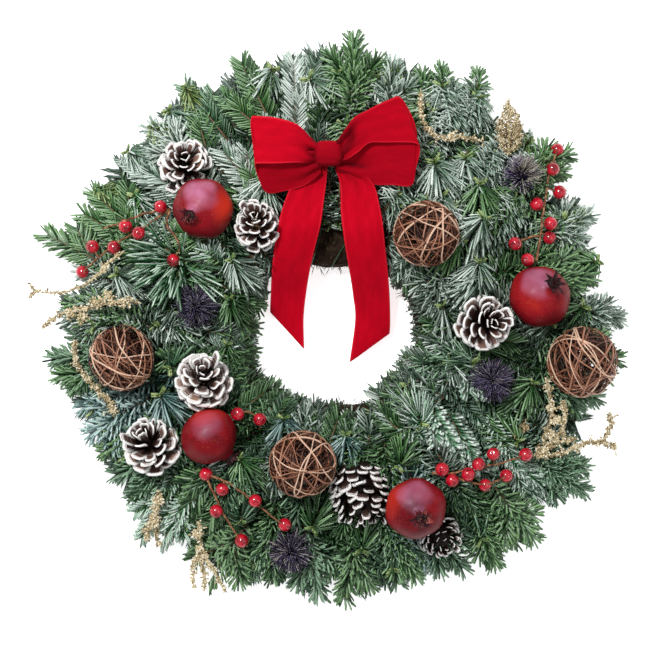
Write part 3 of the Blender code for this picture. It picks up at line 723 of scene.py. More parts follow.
def scatterOn(shape, count):  # points and normals spread evenly over a bmesh
    bmesh.ops.triangulate(shape, faces=shape.faces)
    shape.normal_update()
    areas = np.array([face.calc_area() for face in shape.faces])
    corners = np.array([[vert.co for vert in face.verts] for face in shape.faces])
    normals = np.array([face.normal for face in shape.faces])
    chosen = draws.choice(len(areas), count, p=areas / areas.sum())
    first, second = np.sqrt(draws.random(count)), draws.random(count)
    shares = np.stack([1 - first, first * (1 - second), first * second], -1)
    return (corners[chosen] * shares[..., None]).sum(1), normals[chosen]


def mossRing():
    shape = bmesh.new()
    shape.from_mesh(nodes["moss_base"].data)
    bmesh.ops.remove_doubles(shape, verts=shape.verts, dist=1e-6)
    bmesh.ops.recalc_face_normals(shape, faces=shape.faces)
    spots, outward = scatterOn(shape.copy(), mossSettings["fibres"])
    body = pieceOf("mossRing", shape, mossMaterial(), ("moss_base",))
    fine = body.modifiers.new("fine", "REMESH")
    fine.mode = "VOXEL"
    fine.voxel_size = 2.2 * mm
    lumps = bpy.data.textures.new("mossLumps", "CLOUDS")
    lumps.noise_scale = 9 * mm
    push = body.modifiers.new("lumps", "DISPLACE")
    push.texture = lumps
    push.texture_coords = "LOCAL"
    push.strength = mossSettings["lump"] * mm
    push.mid_level = 0.7
    freeze(body)
    for vert in body.data.vertices:
        vert.co.z = max(vert.co.z, 0.3 * mm)
    along = unit(outward * 0.5 + draws.normal(0, 0.55, outward.shape))
    face = unit(np.cross(along, draws.normal(0, 1, outward.shape)))
    long = mossSettings["long"] * mm * draws.uniform(0.5, 1.2, len(spots))
    bend = scaled(draws.normal(0, 0.35, outward.shape), long)
    ends = spots + scaled(along, long) + bend
    keep = (ends[:, 2] > 1.5 * mm) & (spots[:, 2] > 1.5 * mm) & ~blocked(ends)
    wide = mossSettings["wide"] * mm
    parts = [layCopies(plainStamp, 1, spots[keep], along[keep], face[keep], (long[keep], wide, wide),
                       draws.random(int(keep.sum())), 0, bend[keep])]
    # Loose roots and moss stems, from black-brown to straw and dull green
    fibre = stripMaterial("mossFibre", 0.85, 0.2, (0.1, "#20160E"), (0.4, "#3D2C1C"), (0.65, "#5F4A30"),
                          (0.85, "#4A5230"), (1.0, "#8A7450"))
    makePiece("mossFibres", parts, fibre)


def dress(node, material):  # a CAD node whose shape is right only gets its finish
    nodes[node].data.materials.clear()
    nodes[node].data.materials.append(material)


mossRing()
# Drawn wire: zinc coated steel dulls in patches, and green lacquer stays even
zinc = speckledMaterial("galvanisedWire", 0.4, 0.5, 160.0, 3.0, (0.35, "#77797A"), (0.65, "#A3A6A8"),
                        others={"Metallic": 1.0})
green = speckledMaterial("greenLacqueredWire", 0.35, 0.5, 160.0, 3.0, (0.35, "#26402C"), (0.65, "#38583E"))
dress("wire_ring", zinc)
for node in ("binding_wire", "bow_wire"):
    dress(node, green)
print("moss and wires made")


# Pine cones: spirals of woody scales with whitened rims

coneSettings = {"scales": 46, "extra": 44, "golden": 137.508, "wide": 14.2, "usual": 54 * mm}
# The way that each tip leans, width and length in mm, extra paint, and how far it is shut in degrees
cones = {
    "pine_cone_bottom": ((0.26, -0.95, 0.25), (64, 66), -0.1, 30),
    "pine_cone_bottom_rim": ((0.45, -0.5, 1), (46, 50), 0, 22),
    "pine_cone_by_bow": ((-0.10, 0.42, 1), (47, 51), 0, 0),
    "pine_cone_left": ((0.03, 0.45, 1), (58, 58), 0.2, 0),
    "pine_cone_left_rim": ((-0.30, 0.50, 1), (58, 56), 0.06, 6),
    "pine_cone_right": ((0.40, 0.0, 1), (54, 55), 0, 0),
    "pine_cone_top_left": ((0.06, 0.32, 1), (54, 55), 0, 0),
}


def coneMaterial():
    # Weathered pine wood, red-brown inside each scale and painted nearly black as shade at its foot and
    # underside, with thick matt white paint on the rims
    material, tree = newMaterial("whitenedPineCone", 0.5, 0.3)
    place, tone, rim = stripPlace(tree)
    wood = ramp(tree, tone, (0.0, "#120806"), (0.3, "#26140F"), (0.6, "#543830"), (0.85, "#8E6E62"),
                (1.0, "#B8946C"))
    # The strip runs along a scale, so these flecks differ from scale to scale by its tone
    flecks = noise(tree, addNode(tree, "Mapping", {"Scale": (60.0, 7.0, 1.0), 0: place}), 1.0, 3.0)
    reach = calc(tree, "ADD", rim, calc(tree, "MULTIPLY_ADD", flecks, 3.0, -1.45))
    paint = ramp(tree, reach, (0.58, "#000000"), (0.72, "#FFFFFF"))
    white = ramp(tree, flecks, (0.3, "#C4BEBA"), (0.55, "#FBF9F6"))
    return fill(material, {"Base Color": mixed(tree, paint, wood, white),
                           "Roughness": mapped(tree, paint, 0.0, 1.0, 0.55, 0.9)})


def scaleStamp(tight):  # a tight cone shows broad scale ends, each with a bar of paint
    shape = bmesh.new()
    bmesh.ops.create_grid(shape, x_segments=4, y_segments=5, size=0.5)
    rows = (0.0, 0.45, 0.70, 0.86, 0.95, 1.0)
    reach = (0.6, 0.86, 1.0, 0.94, 0.74, 0.4) if tight else (0.34, 0.70, 0.96, 1.0, 0.86, 0.52)
    for vert in shape.verts:
        row = round((vert.co.y + 0.5) * 5)
        vert.co.x *= reach[row]
        edge = abs(vert.co.x) * 2
        rise = 0.10 * rows[row] ** 2 + (0.06 if tight else 0.16) * edge ** 2 * rows[row]
        vert.co = (vert.co.x, rise, rows[row])
    bmesh.ops.recalc_face_normals(shape, faces=shape.faces)
    thicken(shape, 0.21 if tight else 0.17)

    def mapping(point, face):
        share = abs(point.x) * 2 / np.interp(point.z, rows, reach)
        if tight:
            rim = max((point.z - 0.7) / 0.3, (share - 0.75) / 0.25 * (point.z > 0.6))
        else:
            rim = max((point.z - 0.84) / 0.16, (share - 0.7) / 0.3 * (point.z > 0.68))
        # the tone darkens towards the scale's foot and on its underside: painted shade
        return 0.8 * (point.z - 0.7) - 0.2 * (face.normal.y < -0.3), min(max(float(rim), 0.0), 1.0)

    return arraysOf(shape, mapping)


def pineCone(name, material, stamps):
    centre, _ = middleOf(name)
    axis, size, paint, shut = cones[name]
    tight = shut > 20  # so far shut that only the ends of its scales show
    points, faces, places = stamps[tight]
    stamp = points, faces, np.minimum(places + (0, paint), 1)
    across, tall = (side * mm for side in size)
    turn = np.array(turnTo(axis))
    count = coneSettings["scales"] + coneSettings["extra"] * tight
    index = np.arange(count)
    share = index / (count - 1)  # 0 at the stalk, 1 at the tip
    radial = spokes(np.radians(index * coneSettings["golden"]) + draws.normal(0, 0.09, count))
    taper = (0.72, 0.96, 1, 0.9, 0.62, 0.25) if tight else (0.72, 0.96, 1, 0.8, 0.5, 0.22)
    outer = across / 2 * np.interp(share, (0, 0.15, 0.4, 0.7, 0.9, 1), taper)
    lean = np.interp(share, (0, 0.3, 0.6, 0.85, 1), (0, 12, 26, 40, 66) if tight else (0, 12, 30, 54, 80))
    lean = np.radians(lean + draws.normal(0, 8, count) + shut * (1 - share))
    along = scaled(radial, np.cos(lean)) + scaled(upward, np.sin(lean))
    face = scaled(upward, np.cos(lean)) - scaled(radial, np.sin(lean))
    face = unit(face + scaled(np.cross(along, face), draws.normal(0, 0.16, count)))
    start = outer * 0.62 if tight else np.full(count, 2.0 * mm)
    long = (outer - start) / np.maximum(np.cos(lean), 0.45)
    sunk = long * np.sin(lean) * 0.8 * (shut > 0) * (1 - share)
    base = scaled(upward, tall * (-0.36 + 0.74 * share) - sunk) + scaled(radial, start)
    wide = coneSettings["wide"] * mm * np.interp(share, (0, 0.3, 0.7, 1), (0.9, 1.05, 0.8, 0.42))
    wide = wide * across / coneSettings["usual"] * draws.uniform(0.8, 1.15, count) * (0.72 if tight else 1)
    long = long * draws.uniform(0.9, 1.06, count)
    tone = np.clip(draws.normal(0.52 + 0.6 * paint - 0.1 * tight, 0.16, count), 0, 1)
    bend = scaled(face, long * draws.uniform(0.0, 0.16, count))
    parts = [layTurned(turn, centre, stamp, base, along, face, (long, wide, wide * 0.9), tone, bend)]
    stout = across / 2 * 0.62 / (7 * mm) if tight else 1
    heights, radii = np.array(((-0.42, 3), (-0.38, 7), (0.0, 7), (0.22, 5), (0.36, 2))).T
    core = centre + np.array([turn @ (0, 0, tall * height) for height in heights])
    pith = 0.95 if name == "pine_cone_by_bow" else 0.06  # this cone is open down to its pale pith
    parts.append(sweep([(core, radii * mm * stout)], 8, tone=(pith, 0.1)))
    makePiece(name.replace("pine_cone", "whitenedCone"), parts, material, (name,))


coneWood, coneScales = coneMaterial(), (scaleStamp(False), scaleStamp(True))
for name in cones:
    pineCone(name, coneWood, coneScales)
print("cones made")


# Pomegranates: a leathery ball with faint sides, a torn crown and its stamens

# Middle and width in mm, the way that the crown leans, the side that ripened orange and how much, how
# strong a painted highlight lies on its top, then the crown: lobes, their reach and width in mm, how far
# they curl out, their darkest and palest tone
fruits = {
    "pomegranate_bottom": ((82.5, -184, 83), 60, (0.16, -0.27, 1), (-0.9, 0.4, 0.3), 0.6, 0.6,
                           (10, 6, 6.5, 1.1, 0.1, 0.95)),
    "pomegranate_left": ((-122, -113, 73), 56, (0.9, -0.9, -0.2), (-0.1, 0.95, 0.4), 0.6, 0.35,
                         (7, 7, 6, 0.4, 0.2, 0.5)),
    "pomegranate_right": ((206, 25, 66), 61, (0.42, 0.46, 1), (-0.9, 0.1, 0.4), 0.08, 0.8,
                          (8, 6.5, 5.5, 0.9, 0.0, 0.3)),
    "pomegranate_top_left": ((-127.5, 112, 76), 60, (-0.42, -0.30, 1), (0.9, -0.05, 0.4), 1.0, 0.85,
                             (7, 5.5, 5.5, 0.6, 0.4, 0.8)),
}
stamens = 44


def fruitMaterial():
    # Waxed pomegranate rind: deep crimson, flushed orange at one side, a painted pink highlight on top and
    # painted shade below, fine freckles
    material, tree = newMaterial("pomegranateRind", 0.48, 0.12, {"Coat Weight": 0.04, "Coat Roughness": 0.25})
    place = addNode(tree, "TexCoord", {})
    rind = ramp(tree, noise(tree, place, 24.0, 4.0, 0.6), (0.32, "#4C0410"), (0.46, "#760814"),
                (0.60, "#8C0C19"), (0.76, "#A01E18"))
    freckles = noise(tree, place, 520.0)
    spots = ramp(tree, freckles, (0.60, "#000000"), (0.72, "#FFFFFF"))
    rind = mixed(tree, calc(tree, "MULTIPLY", spots, 0.12), rind, "#D98A5A")
    rind = mixed(tree, addNode(tree, "Attribute", {"attribute_name": "flush"}), rind, "#CE301C")
    facing = addNode(tree, "VectorMath", {"operation": "DOT_PRODUCT", 0: addNode(tree, "NewGeometry", {}),
                                          1: (-0.05, 0.56, 0.827)})
    # a broad pink highlight, painted on the side that faces the light and mottled by a noise
    top = mapped(tree, facing, 0.72, 1.0, smooth=True)
    dust = addNode(tree, "Attribute", {"attribute_name": "dust"})
    dust = calc(tree, "MULTIPLY", calc(tree, "MULTIPLY", noise(tree, place, 60.0), dust), 1.25)
    paintedHighlight = calc(tree, "MULTIPLY", top, dust, clamp=True)
    rind = mixed(tree, paintedHighlight, rind, "#BC7898")
    rind = mixed(tree, mapped(tree, facing, 0.45, -0.1, end=0.75), rind, "#5C0210")  # painted shade below, on the side away from the light
    return fill(material, {"Base Color": rind, "Normal": bumped(tree, freckles, 0.12, 0.001)})


def petalStamp():  # one torn lobe of the crown
    shape = bmesh.new()
    bmesh.ops.create_grid(shape, x_segments=4, y_segments=5, size=0.5)
    for vert in shape.verts:
        rise = vert.co.y + 0.5
        vert.co = (vert.co.x * (1 - 0.85 * rise ** 2) * (1 + 0.5 * rise), 1.1 * vert.co.x ** 2, rise)
    thicken(shape, 0.14)
    return arraysOf(shape, lambda point, face: (-0.35 * point.z + 0.1 * (face.normal.y > 0), 0.5))


def pomegranate(name, skin, leather, petal):
    spot, wide, axis, side, ripe, sheenStrength, (lobes, reach, broad, curl, dark, pale) = fruits[name]
    middle, radius = Vector(spot) * mm, wide / 2 * mm
    turn, side = turnTo(axis), Vector(side).normalized()
    shape = bmesh.new()
    bmesh.ops.create_uvsphere(shape, u_segments=56, v_segments=36, radius=1)
    for vert in shape.verts:
        flat, high = math.hypot(vert.co.x, vert.co.y), vert.co.z
        around = math.atan2(vert.co.y, vert.co.x)
        sides = 1 + 0.022 * math.cos(6 * around + 0.6) * flat ** 2 + 0.012 * math.cos(2 * around)
        neck = 0.16 * math.exp(-((flat / 0.26) ** 4)) * (high > 0)
        dent = 0.06 * math.exp(-((flat / 0.16) ** 2)) * (high < 0)
        vert.co = Vector((vert.co.x * sides, vert.co.y * sides, high * 0.94 + neck + dent)) * radius
    bmesh.ops.transform(shape, matrix=Matrix.Translation(middle) @ turn.to_4x4(), verts=shape.verts)
    flush, dust = (shape.verts.layers.float.new(layer) for layer in ("flush", "dust"))
    for vert in shape.verts:
        vert[flush] = ripe * min(max(((vert.co - middle).normalized().dot(side) - 0.66) / 0.34, 0), 1)
        vert[dust] = sheenStrength
    pieceOf(name.replace("pomegranate", "pomegranateFruit"), shape, skin, (name,))
    middle, rise = np.array(middle), 0.94 * radius
    radial = spokes(np.arange(lobes) * 2 * np.pi / lobes + draws.normal(0, 0.2, lobes))
    base = radial * (5.0 * mm) + upward * (rise + 3.6 * mm)
    along = unit(radial * draws.uniform(0.1, 0.9, (lobes, 1)) + upward)
    long = reach * mm * draws.uniform(0.55, 1.15, lobes)
    bend = scaled(radial * curl - upward * 0.35 * curl, long)
    parts = [layTurned(turn, middle, petal, base, along, unit(upward * 0.4 - radial),
                       (long, broad * mm * draws.uniform(0.7, 1.2, lobes), 6 * mm),
                       draws.uniform(dark, pale, lobes), bend)]
    # the cup is nearly black: partly the dried crown's own colour, partly painted shade for its hollow
    cup = np.array([(0, 0, rise + 2 * mm), (0, 0, rise + 5.6 * mm)]) @ np.array(turn).T + middle
    parts.append(sweep([(cup, np.array([6.4, 5.2]) * mm)], 12, tone=(0.02, 0.5)))
    way = unit(draws.normal(0, 0.5, (stamens, 3)) * (1, 1, 0) + upward)
    spot = upward * (rise + 5.2 * mm) + draws.normal(0, 1.9 * mm, (stamens, 3)) * (1, 1, 0)
    parts.append(layTurned(turn, middle, plainStamp, spot, way, unit(np.cross(way, (1.0, 0.2, 0.1))),
                           (draws.uniform(2.5, 5.5, stamens) * mm, 0.6 * mm, 0.6 * mm),
                           draws.uniform(dark, pale + 0.3, stamens)))
    makePiece(name.replace("pomegranate", "pomegranateCrown"), parts, leather)


rind, petal = fruitMaterial(), petalStamp()
# Dried crown: leathery, with straw stamens; nearly black at its lip, partly its own colour and partly painted
# shade for the crown's hollow
crownLeather = stripMaterial("driedCrown", 0.7, 0.3, (0.0, "#1C0A0C"), (0.3, "#3A1218"), (0.6, "#6A1C26"),
                             (0.8, "#8E3C38"), (1.0, "#C08C74"))
for name in fruits:
    pomegranate(name, rind, crownLeather, petal)
print("pomegranates made")


# Vine balls: hoops of dried vine wound over each other

vineLayers = (  # hoops, thinnest and thickest radius, how far in at most, all in mm, and the tone of each set, darker for the deeper sets as painted shade
    (12, 0.6, 0.95, 1.0, 0.82), (18, 0.5, 0.8, 4.0, 0.52), (24, 0.45, 0.75, 9.0, 0.3),
    (20, 0.4, 0.7, 16.0, 0.1),
)
vineSizes = {"vine_ball_bottom": 68, "vine_ball_left": 67, "vine_ball_right": 72, "vine_ball_top": 67}


def vineHoop(centre, radius, thin, thick, deep):  # one wandering hoop that lies on a shell inside the radius
    pole = unit(draws.normal(0, 1, 3) * (1, 1, 0.7))
    side = unit(np.cross(pole, (0.31, 0.62, 0.72)))
    bar = draws.uniform(thin, thick) * mm
    shell = radius - bar - draws.uniform(0, deep) * mm
    lift = draws.uniform(-0.5, 0.5) * shell
    turn = np.linspace(0, 2 * np.pi, 38, endpoint=False)
    phase = draws.uniform(0, 2 * np.pi, 3)
    wander = 0.7 * mm * (np.sin(2 * turn + phase[0]) + 0.5 * np.sin(5 * turn + phase[1]))
    ring = scaled(side, np.cos(turn)) + scaled(np.cross(pole, side), np.sin(turn))
    ring = unit(ring * math.sqrt(shell ** 2 - lift ** 2) + scaled(pole, lift + 2 * wander))
    ring = scaled(ring, np.minimum(shell, shell + 0.4 * wander))
    return ring + centre, bar * (1 + 0.2 * np.sin(3 * turn + phase[2]))


def vineBall(name, material):
    centre, _ = middleOf(name)
    parts = []
    for hoops, thin, thick, deep, tone in vineLayers:
        for shade in (-0.12, 0.12):
            lines = [vineHoop(centre, vineSizes[name] / 2 * mm, thin, thick, deep) for _ in range(hoops // 2)]
            parts.append(sweep(lines, 6 if deep < 5 else 4, cyclic=True, tone=(min(tone + shade, 1.0), 0.5)))
    makePiece(name.replace("vine_ball", "woundVine"), parts, material, (name,))


# Peeled grape vine: pale tan outside, with a dull gleam; the strands that lie deeper take its dark tones, as
# painted shade
vine = stripMaterial("driedVine", 0.5, 0.4, (0.0, "#1C0B07"), (0.3, "#4A2618"), (0.6, "#88543C"),
                     (0.85, "#C09074"), (1.0, "#E2C2A8"))
for name in vineSizes:
    vineBall(name, vine)
print("vine balls made")


# Thistles: an egg-shaped head of fine spikes inside a ruff of long spined bracts

thistles = {  # the way that each leans, its share of straw-coloured bracts, and how pale the others are
    "thistle_bottom": ((0.0, -0.2, 1), 0.2, 0.7), "thistle_left": ((-0.1, 0.1, 1), 0.05, 0.86),
    "thistle_right": ((0.15, 0.1, 1), 0.03, 0.96), "thistle_top_right": ((0.05, 1, 0.55), 0.9, 1.1),
}
thistleRows = (  # height in mm, number, angle from the stalk, length and width in mm, lowest and highest tone
    (-9, 26, 92, 23, 1.8, 0.0, 0.45), (-6, 24, 78, 22, 1.7, 0.1, 0.5), (-3, 20, 62, 19, 1.5, 0.1, 0.6),
    (-4, 110, 84, 23, 0.85, 0.05, 0.8), (1, 100, 64, 19, 0.85, 0.05, 0.8), (4, 80, 44, 15, 0.8, 0.1, 0.8),
    (6, 46, 26, 12.5, 0.7, 0.4, 0.9), (7, 30, 12, 10.5, 0.6, 0.8, 1.0),
)


def thistleMaterial():
    # Sea holly: dull violet-blue bracts that pale to straw at their spines, and an olive heart
    material, tree = newMaterial("seaHolly", 0.7, 0.1)
    _, tone, up = stripPlace(tree)
    colour = ramp(tree, tone, (0.0, "#04020A"), (0.35, "#160A2C"), (0.6, "#301E56"), (0.72, "#5A4A86"),
                  (0.8, "#4C4832"), (0.92, "#B4AE90"))
    along = calc(tree, "FRACT", calc(tree, "MULTIPLY", up, 2.0))
    spine = calc(tree, "MULTIPLY", mapped(tree, along, 0.6, 0.86), tone, clamp=True)
    return fill(material, {"Base Color": mixed(tree, spine, colour, "#D8CFDC")})


def thistle(name, material):
    centre, _ = middleOf(name)
    axis, straw, glow = thistles[name]
    turn = np.array(turnTo(axis))
    core = np.array([(0, 0, z) for z in (-9, -4, 2, 6)]) * mm
    parts = [sweep([(core @ turn.T + centre, np.array([6, 11, 9, 3]) * mm)], 10, tone=(0.06, 0.3))]
    for high, count, angle, long, wide, dark, pale in thistleRows:
        radial = spokes(draws.uniform(0, 2 * np.pi, count))
        tilt = np.radians(angle + draws.normal(0, 10, count))
        along = scaled(radial, np.sin(tilt)) + scaled(upward, np.cos(tilt))
        base = upward * (high * mm) + radial * (1.5 * mm)
        length = long * mm * draws.uniform(0.65, 1.1, count)
        face = unit(upward + draws.normal(0, 0.3, (count, 3)))
        bend = scaled(upward, length * draws.uniform(-0.05, 0.25, count))
        tone = np.where(draws.random(count) < straw, draws.uniform(0.88, 1.0, count),
                        draws.uniform(dark, pale, count) * glow)
        parts.append(layTurned(turn, centre, firStamp, base, along, face,
                               (length, wide * mm, wide * 0.5 * mm), tone, bend))
        if wide < 1.0:
            continue  # only the broad bracts have side spines
        for share in (0.35, 0.55, 0.75):
            spot = base + scaled(along, length * share) + bend * share ** 2
            for way in (-1, 1):
                spine = unit(along * 0.8 + np.cross(along, upward) * way * 0.7 + upward * 0.15)
                tone = draws.uniform(dark, pale, count) * glow
                parts.append(layTurned(turn, centre, plainStamp, spot, spine, face,
                                       (4.2 * mm, 0.9 * mm, 0.6 * mm), tone))
    makePiece(name.replace("thistle", "seaHolly"), parts, material, (name,))


holly = thistleMaterial()
for name in thistles:
    thistle(name, holly)
print("thistles made")


# Berry sprays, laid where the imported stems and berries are

berrySettings = {"width": 13.6, "stem": 1.1, "lift": 2.5}
berrySprays = {  # stems in plan, then berries in plan, in mm
    "berry_spray_left": (
        (((-160, 112), (-184, 96), (-210, 81), (-233, 64), (-246, 52)),
         ((-160, 112), (-184, 108), (-207, 99), (-229, 93)),
         ((-160, 112), (-164, 97), (-155, 84), (-151, 72), (-157, 61))),
        ((-170, 114), (-205, 95), (-192, 88), (-239, 75), (-217, 74), (-249.5, 50), (-157, 61))),
    "berry_spray_right": (
        (((203, 61), (207, 85), (210, 108), (217, 146), (226, 172)),
         ((207, 85), (196, 84), (184, 79))),
        ((226, 173), (220.5, 153), (228, 130), (204.5, 117.5), (217.5, 98), (217, 84), (181.5, 77.5),
         (194, 61.5))),
    "berry_spray_low_right": (
        (((99, -150), (116, -150), (138, -146), (165, -141), (192, -132)),
         ((116, -150), (134, -158), (152, -161), (173, -154))),
        ((109, -146), (119, -157), (135, -151), (145, -141), (160, -131), (152, -162), (173.5, -153),
         (192.5, -132))),
    "berry_spray_low_left": (
        (((-127, -149), (-97, -163), (-70, -185), (-50, -200)),
         ((-127, -149), (-116, -172), (-107, -193), (-92, -216))),
        ((-125, -151), (-109, -166), (-115, -188), (-76, -177), (-47, -201), (-90, -218))),
    "berry_pair_left": (
        (((-94, -91), (-83, -89), (-72, -96)),),
        ((-71.5, -96.5), (-93.5, -91))),
}


def dropOn(name, points, lift=0.0):  # plan points in mm, at the top of a CAD node
    tree = treeOf(name)
    found = []
    for x, y in points:
        height = max(topAt(tree, (x + dx) * mm, (y + dy) * mm)
                     for dx, dy in ((0, 0), (0.8, 0), (-0.8, 0), (0, 0.8), (0, -0.8)))
        if height < 0:
            height = tree.find_nearest(Vector((x * mm, y * mm, 0.05)))[0].z
        found.append((x * mm, y * mm, height + lift * mm))
    return np.array(found)


def smoothLine(points, steps=6):  # a Catmull-Rom line through the points
    padded = np.concatenate([points[:1] * 2 - points[1:2], points, points[-1:] * 2 - points[-2:-1]])
    made = []
    for before, start, end, after in zip(padded, padded[1:], padded[2:], padded[3:]):
        t = np.linspace(0, 1, steps, endpoint=False)[:, None]
        square, cube = 2 * before - 5 * start + 4 * end - after, 3 * start - before - 3 * end + after
        made.append(0.5 * (2 * start + (end - before) * t + square * t ** 2 + cube * t ** 3))
    return np.concatenate(made + [points[-1:]])


def berrySpray(name, skin, bark):
    stems, spots = berrySprays[name]
    lift, radius, thick = berrySettings["lift"], berrySettings["width"] / 2 * mm, berrySettings["stem"] * mm
    berries = dropOn(name, spots, lift) - (0, 0, radius)
    lines, ways = [], []
    for stem in stems:
        line = smoothLine(dropOn(name, stem, lift) - (0, 0, thick))
        line = line + draws.normal(0, 0.35 * mm, line.shape)
        lines.append((line, np.linspace(1.15, 0.75, len(line)) * thick))
    every = np.concatenate([line for line, _ in lines])
    for berry in berries:  # a twig from the nearest stem that isn't inside the berry
        apart = np.linalg.norm(every - berry, axis=1)
        start = every[np.argmin(apart + 10 * (apart < radius))]
        middle = (start + berry) / 2 + (0, 0, 1.5 * mm)
        lines.append((smoothLine(np.array([start, middle, berry]), 4), 0.7 * mm))
        ways.append(unit(unit(berry - start) * 0.7 + (0, 0, 0.7) + draws.normal(0, 0.25, 3)))
    piece = makePiece(camel(name) + "Stems", [sweep(lines, 6)], bark, (name,))
    piece.data.uv_layers.remove(piece.data.uv_layers[0])  # bark follows a noise, so it needs no strip
    shape = bmesh.new()
    whiskers = []
    for berry, way in zip(berries, ways):
        turn = Vector(way).to_track_quat("Z", "Y").to_matrix()
        size = radius * draws.uniform(0.94, 1.04)
        made = bmesh.ops.create_uvsphere(shape, u_segments=24, v_segments=16, radius=size)
        for vert in made["verts"]:  # a dimple at the star
            flat = math.hypot(vert.co.x, vert.co.y)
            vert.co.z -= 0.9 * mm * math.exp(-((flat / (1.6 * mm)) ** 2)) * (1 if vert.co.z > 0 else 0)
        place = Matrix.Translation(Vector(berry)) @ turn.to_4x4()
        bmesh.ops.transform(shape, matrix=place, verts=made["verts"])
        radial = spokes(np.arange(7) * 2 * np.pi / 7 + draws.normal(0, 0.2, 7)) + (0, 0, 0.35)
        base = upward * (size - 1.1 * mm) + radial * 0.1 * mm
        along = unit(radial + draws.normal(0, 0.15, radial.shape))
        whiskers.append(layTurned(turn, berry, plainStamp, base, along, np.tile(upward, (7, 1)),
                                  (draws.uniform(2.0, 3.4, 7) * mm, 0.8 * mm, 0.5 * mm),
                                  draws.uniform(0, 0.3, 7)))
    pieceOf(camel(name) + "Berries", shape, skin)
    makePiece(camel(name) + "Stars", whiskers, crownLeather)


# Lacquered berries: bright crimson with a darker blush and a clear gloss
lacquer = speckledMaterial("lacqueredBerry", 0.22, 0.5, 110.0, 3.0, (0.35, "#7E0616"), (0.5, "#B80E26"),
                           (0.7, "#CE1830"), others={"Coat Weight": 0.6, "Coat Roughness": 0.08})
# Paper-wrapped wire stems: warm brown with lighter wear
bark = speckledMaterial("brownStem", 0.75, 0.25, 210.0, 4.0, (0.3, "#4A2C1C"), (0.5, "#83553A"),
                        (0.7, "#B58A63"))
for name in berrySprays:
    berrySpray(name, lacquer, bark)
print("berries made")


# Dried golden twigs: thin stems beset with seeds

brownHeads = ((192, -104), (184, -112))  # seed heads of a browner grass
twigLines = {  # stems in plan, heads of seeds with their widths, in mm, and how full each twig is
    "gold_twig_left": (
        (((-207, 70), (-223, 58), (-241, 41), (-257, 33), (-276, 29), (-297, 31), (-303, 38)),
         ((-297, 31), (-304, 26))), ((-226, 54, 9),), 0.3),
    "gold_twig_left_low": (
        (((-193, 20), (-216, 19), (-243, 14), (-258, 12), (-279, 4), (-290, -6)),),
        ((-249, 6, 12), (-235, 19, 12), (-221, 24, 10), (-205, 19, 10), (-262, 8, 9)), 0.9),
    "gold_twig_by_ball": (
        (((-257, -19), (-256, -40), (-245, -56), (-232, -70), (-221, -80), (-217, -91)),),
        (), 1.7),
    "gold_twig_top": (
        (((89, 228), (88, 213), (91, 199), (98, 188), (110, 183), (129, 183), (150, 180)),),
        ((119, 184, 6),), 0.75),
    "gold_twig_right": (
        (((214, -58), (216, -70), (219, -90), (214, -112), (206, -134)),
         ((230, -80), (232, -96), (226, -112), (212, -128)),
         ((206, -134), (230, -131), (255, -121), (270, -120), (280, -104), (279, -93)),
         ((270, -120), (283, -124)), ((206, -134), (222, -122), (240, -116))),
        ((218, -84, 6), (224, -98, 6), (217, -112, 7), (210, -128, 8), (243, -125, 6), (192, -104, 8),
         (184, -112, 7)), 1.3),
    "pale_spray_bottom": (
        (((-133, -200), (-131, -225), (-129, -250), (-128, -268)),
         ((-131, -225), (-139, -246), (-139, -266)),
         ((-131, -225), (-117, -250), (-107, -270))), ((-134, -212, 9), (-131, -236, 9)), 1.0),
    "cream_spray_bottom": (
        (((-172, -170), (-174, -186), (-176, -204), (-175, -224)),
         ((-174, -186), (-184, -204), (-186, -218))), ((-173, -178, 10), (-178, -200, 10)), 1.3),
}


def seedStamp():
    shape = spike(5, 0.30, 1)
    for vert in shape.verts:
        if 0.4 < vert.co.z < 0.6:
            vert.co.x, vert.co.y = vert.co.x * 3.2, vert.co.y * 3.2
    # each seed is painted darker towards its foot, as shade
    return arraysOf(shape, lambda point, face: (0.3 * point.z - 0.15, 0.2 + 0.6 * point.z))


seeds = seedStamp()


def seedsOn(points, count, spread, size, low, high):  # seeds that stand off a line of points
    chosen = draws.integers(0, len(points), count)
    spot = points[chosen] + draws.normal(0, 0.4 * spread, (count, 3)) * mm
    way = unit(draws.normal(0, 1, (count, 3)) + (0, 0, 0.35))
    base = spot + way * (spread * 0.3 * mm)
    face = unit(np.cross(way, draws.normal(0, 1, (count, 3))))
    long = size * mm * draws.uniform(0.7, 1.3, count)
    wide = long * 0.62
    return layCopies(seeds, 1, base, way, face, (long, wide, wide), draws.uniform(low, high, count))


def goldTwig(name, material):
    stems, heads, full = twigLines[name]
    fade = 0.35 * (name == "pale_spray_bottom")
    lines, parts = [], []
    for stem in stems:
        line = smoothLine(dropOn(name, stem, 3.0), 8)
        line = line + draws.normal(0, 0.4 * mm, line.shape)
        lines.append((line, np.linspace(1.3, 0.7, len(line)) * mm))
        parts.append(seedsOn(line, int(len(line) * 7 * full), 1.8, 3.1, fade, 1.0))
        for spot in line[2::3]:  # short side twigs, each with its own seeds
            way = unit(draws.normal(0, 1, 3) * (1, 1, 0.4) + (0, 0, 0.35))
            side = spot + way * np.linspace(0, draws.uniform(3, 7) * full * mm, 4)[:, None]
            lines.append((side, 0.35 * mm))
            parts.append(seedsOn(side[1:], int(5 * full) + 2, 0.8, 2.6, 0.2 + fade, 1.0))
    for x, y, wide in heads:
        centre = dropOn(name, ((x, y),))[0]
        cloud = centre + (0, 0, 3 * mm) + draws.normal(0, 0.24 * wide, (90, 3)) * (1, 1, 0.6) * mm
        tones = (0.0, 0.4) if (x, y) in brownHeads else (0.35, 1.0)
        parts.append(seedsOn(cloud, 70, 1.0, 3.5, *tones))
    parts.append(sweep(lines, 4, tone=(0.55, 0.3)))
    makePiece(camel(name), parts, material, (name,))


plumeTones = (0.45, 1.0), (0.0, 0.5), (0.0, 1.0)  # darkest and palest, in turn from thread to thread


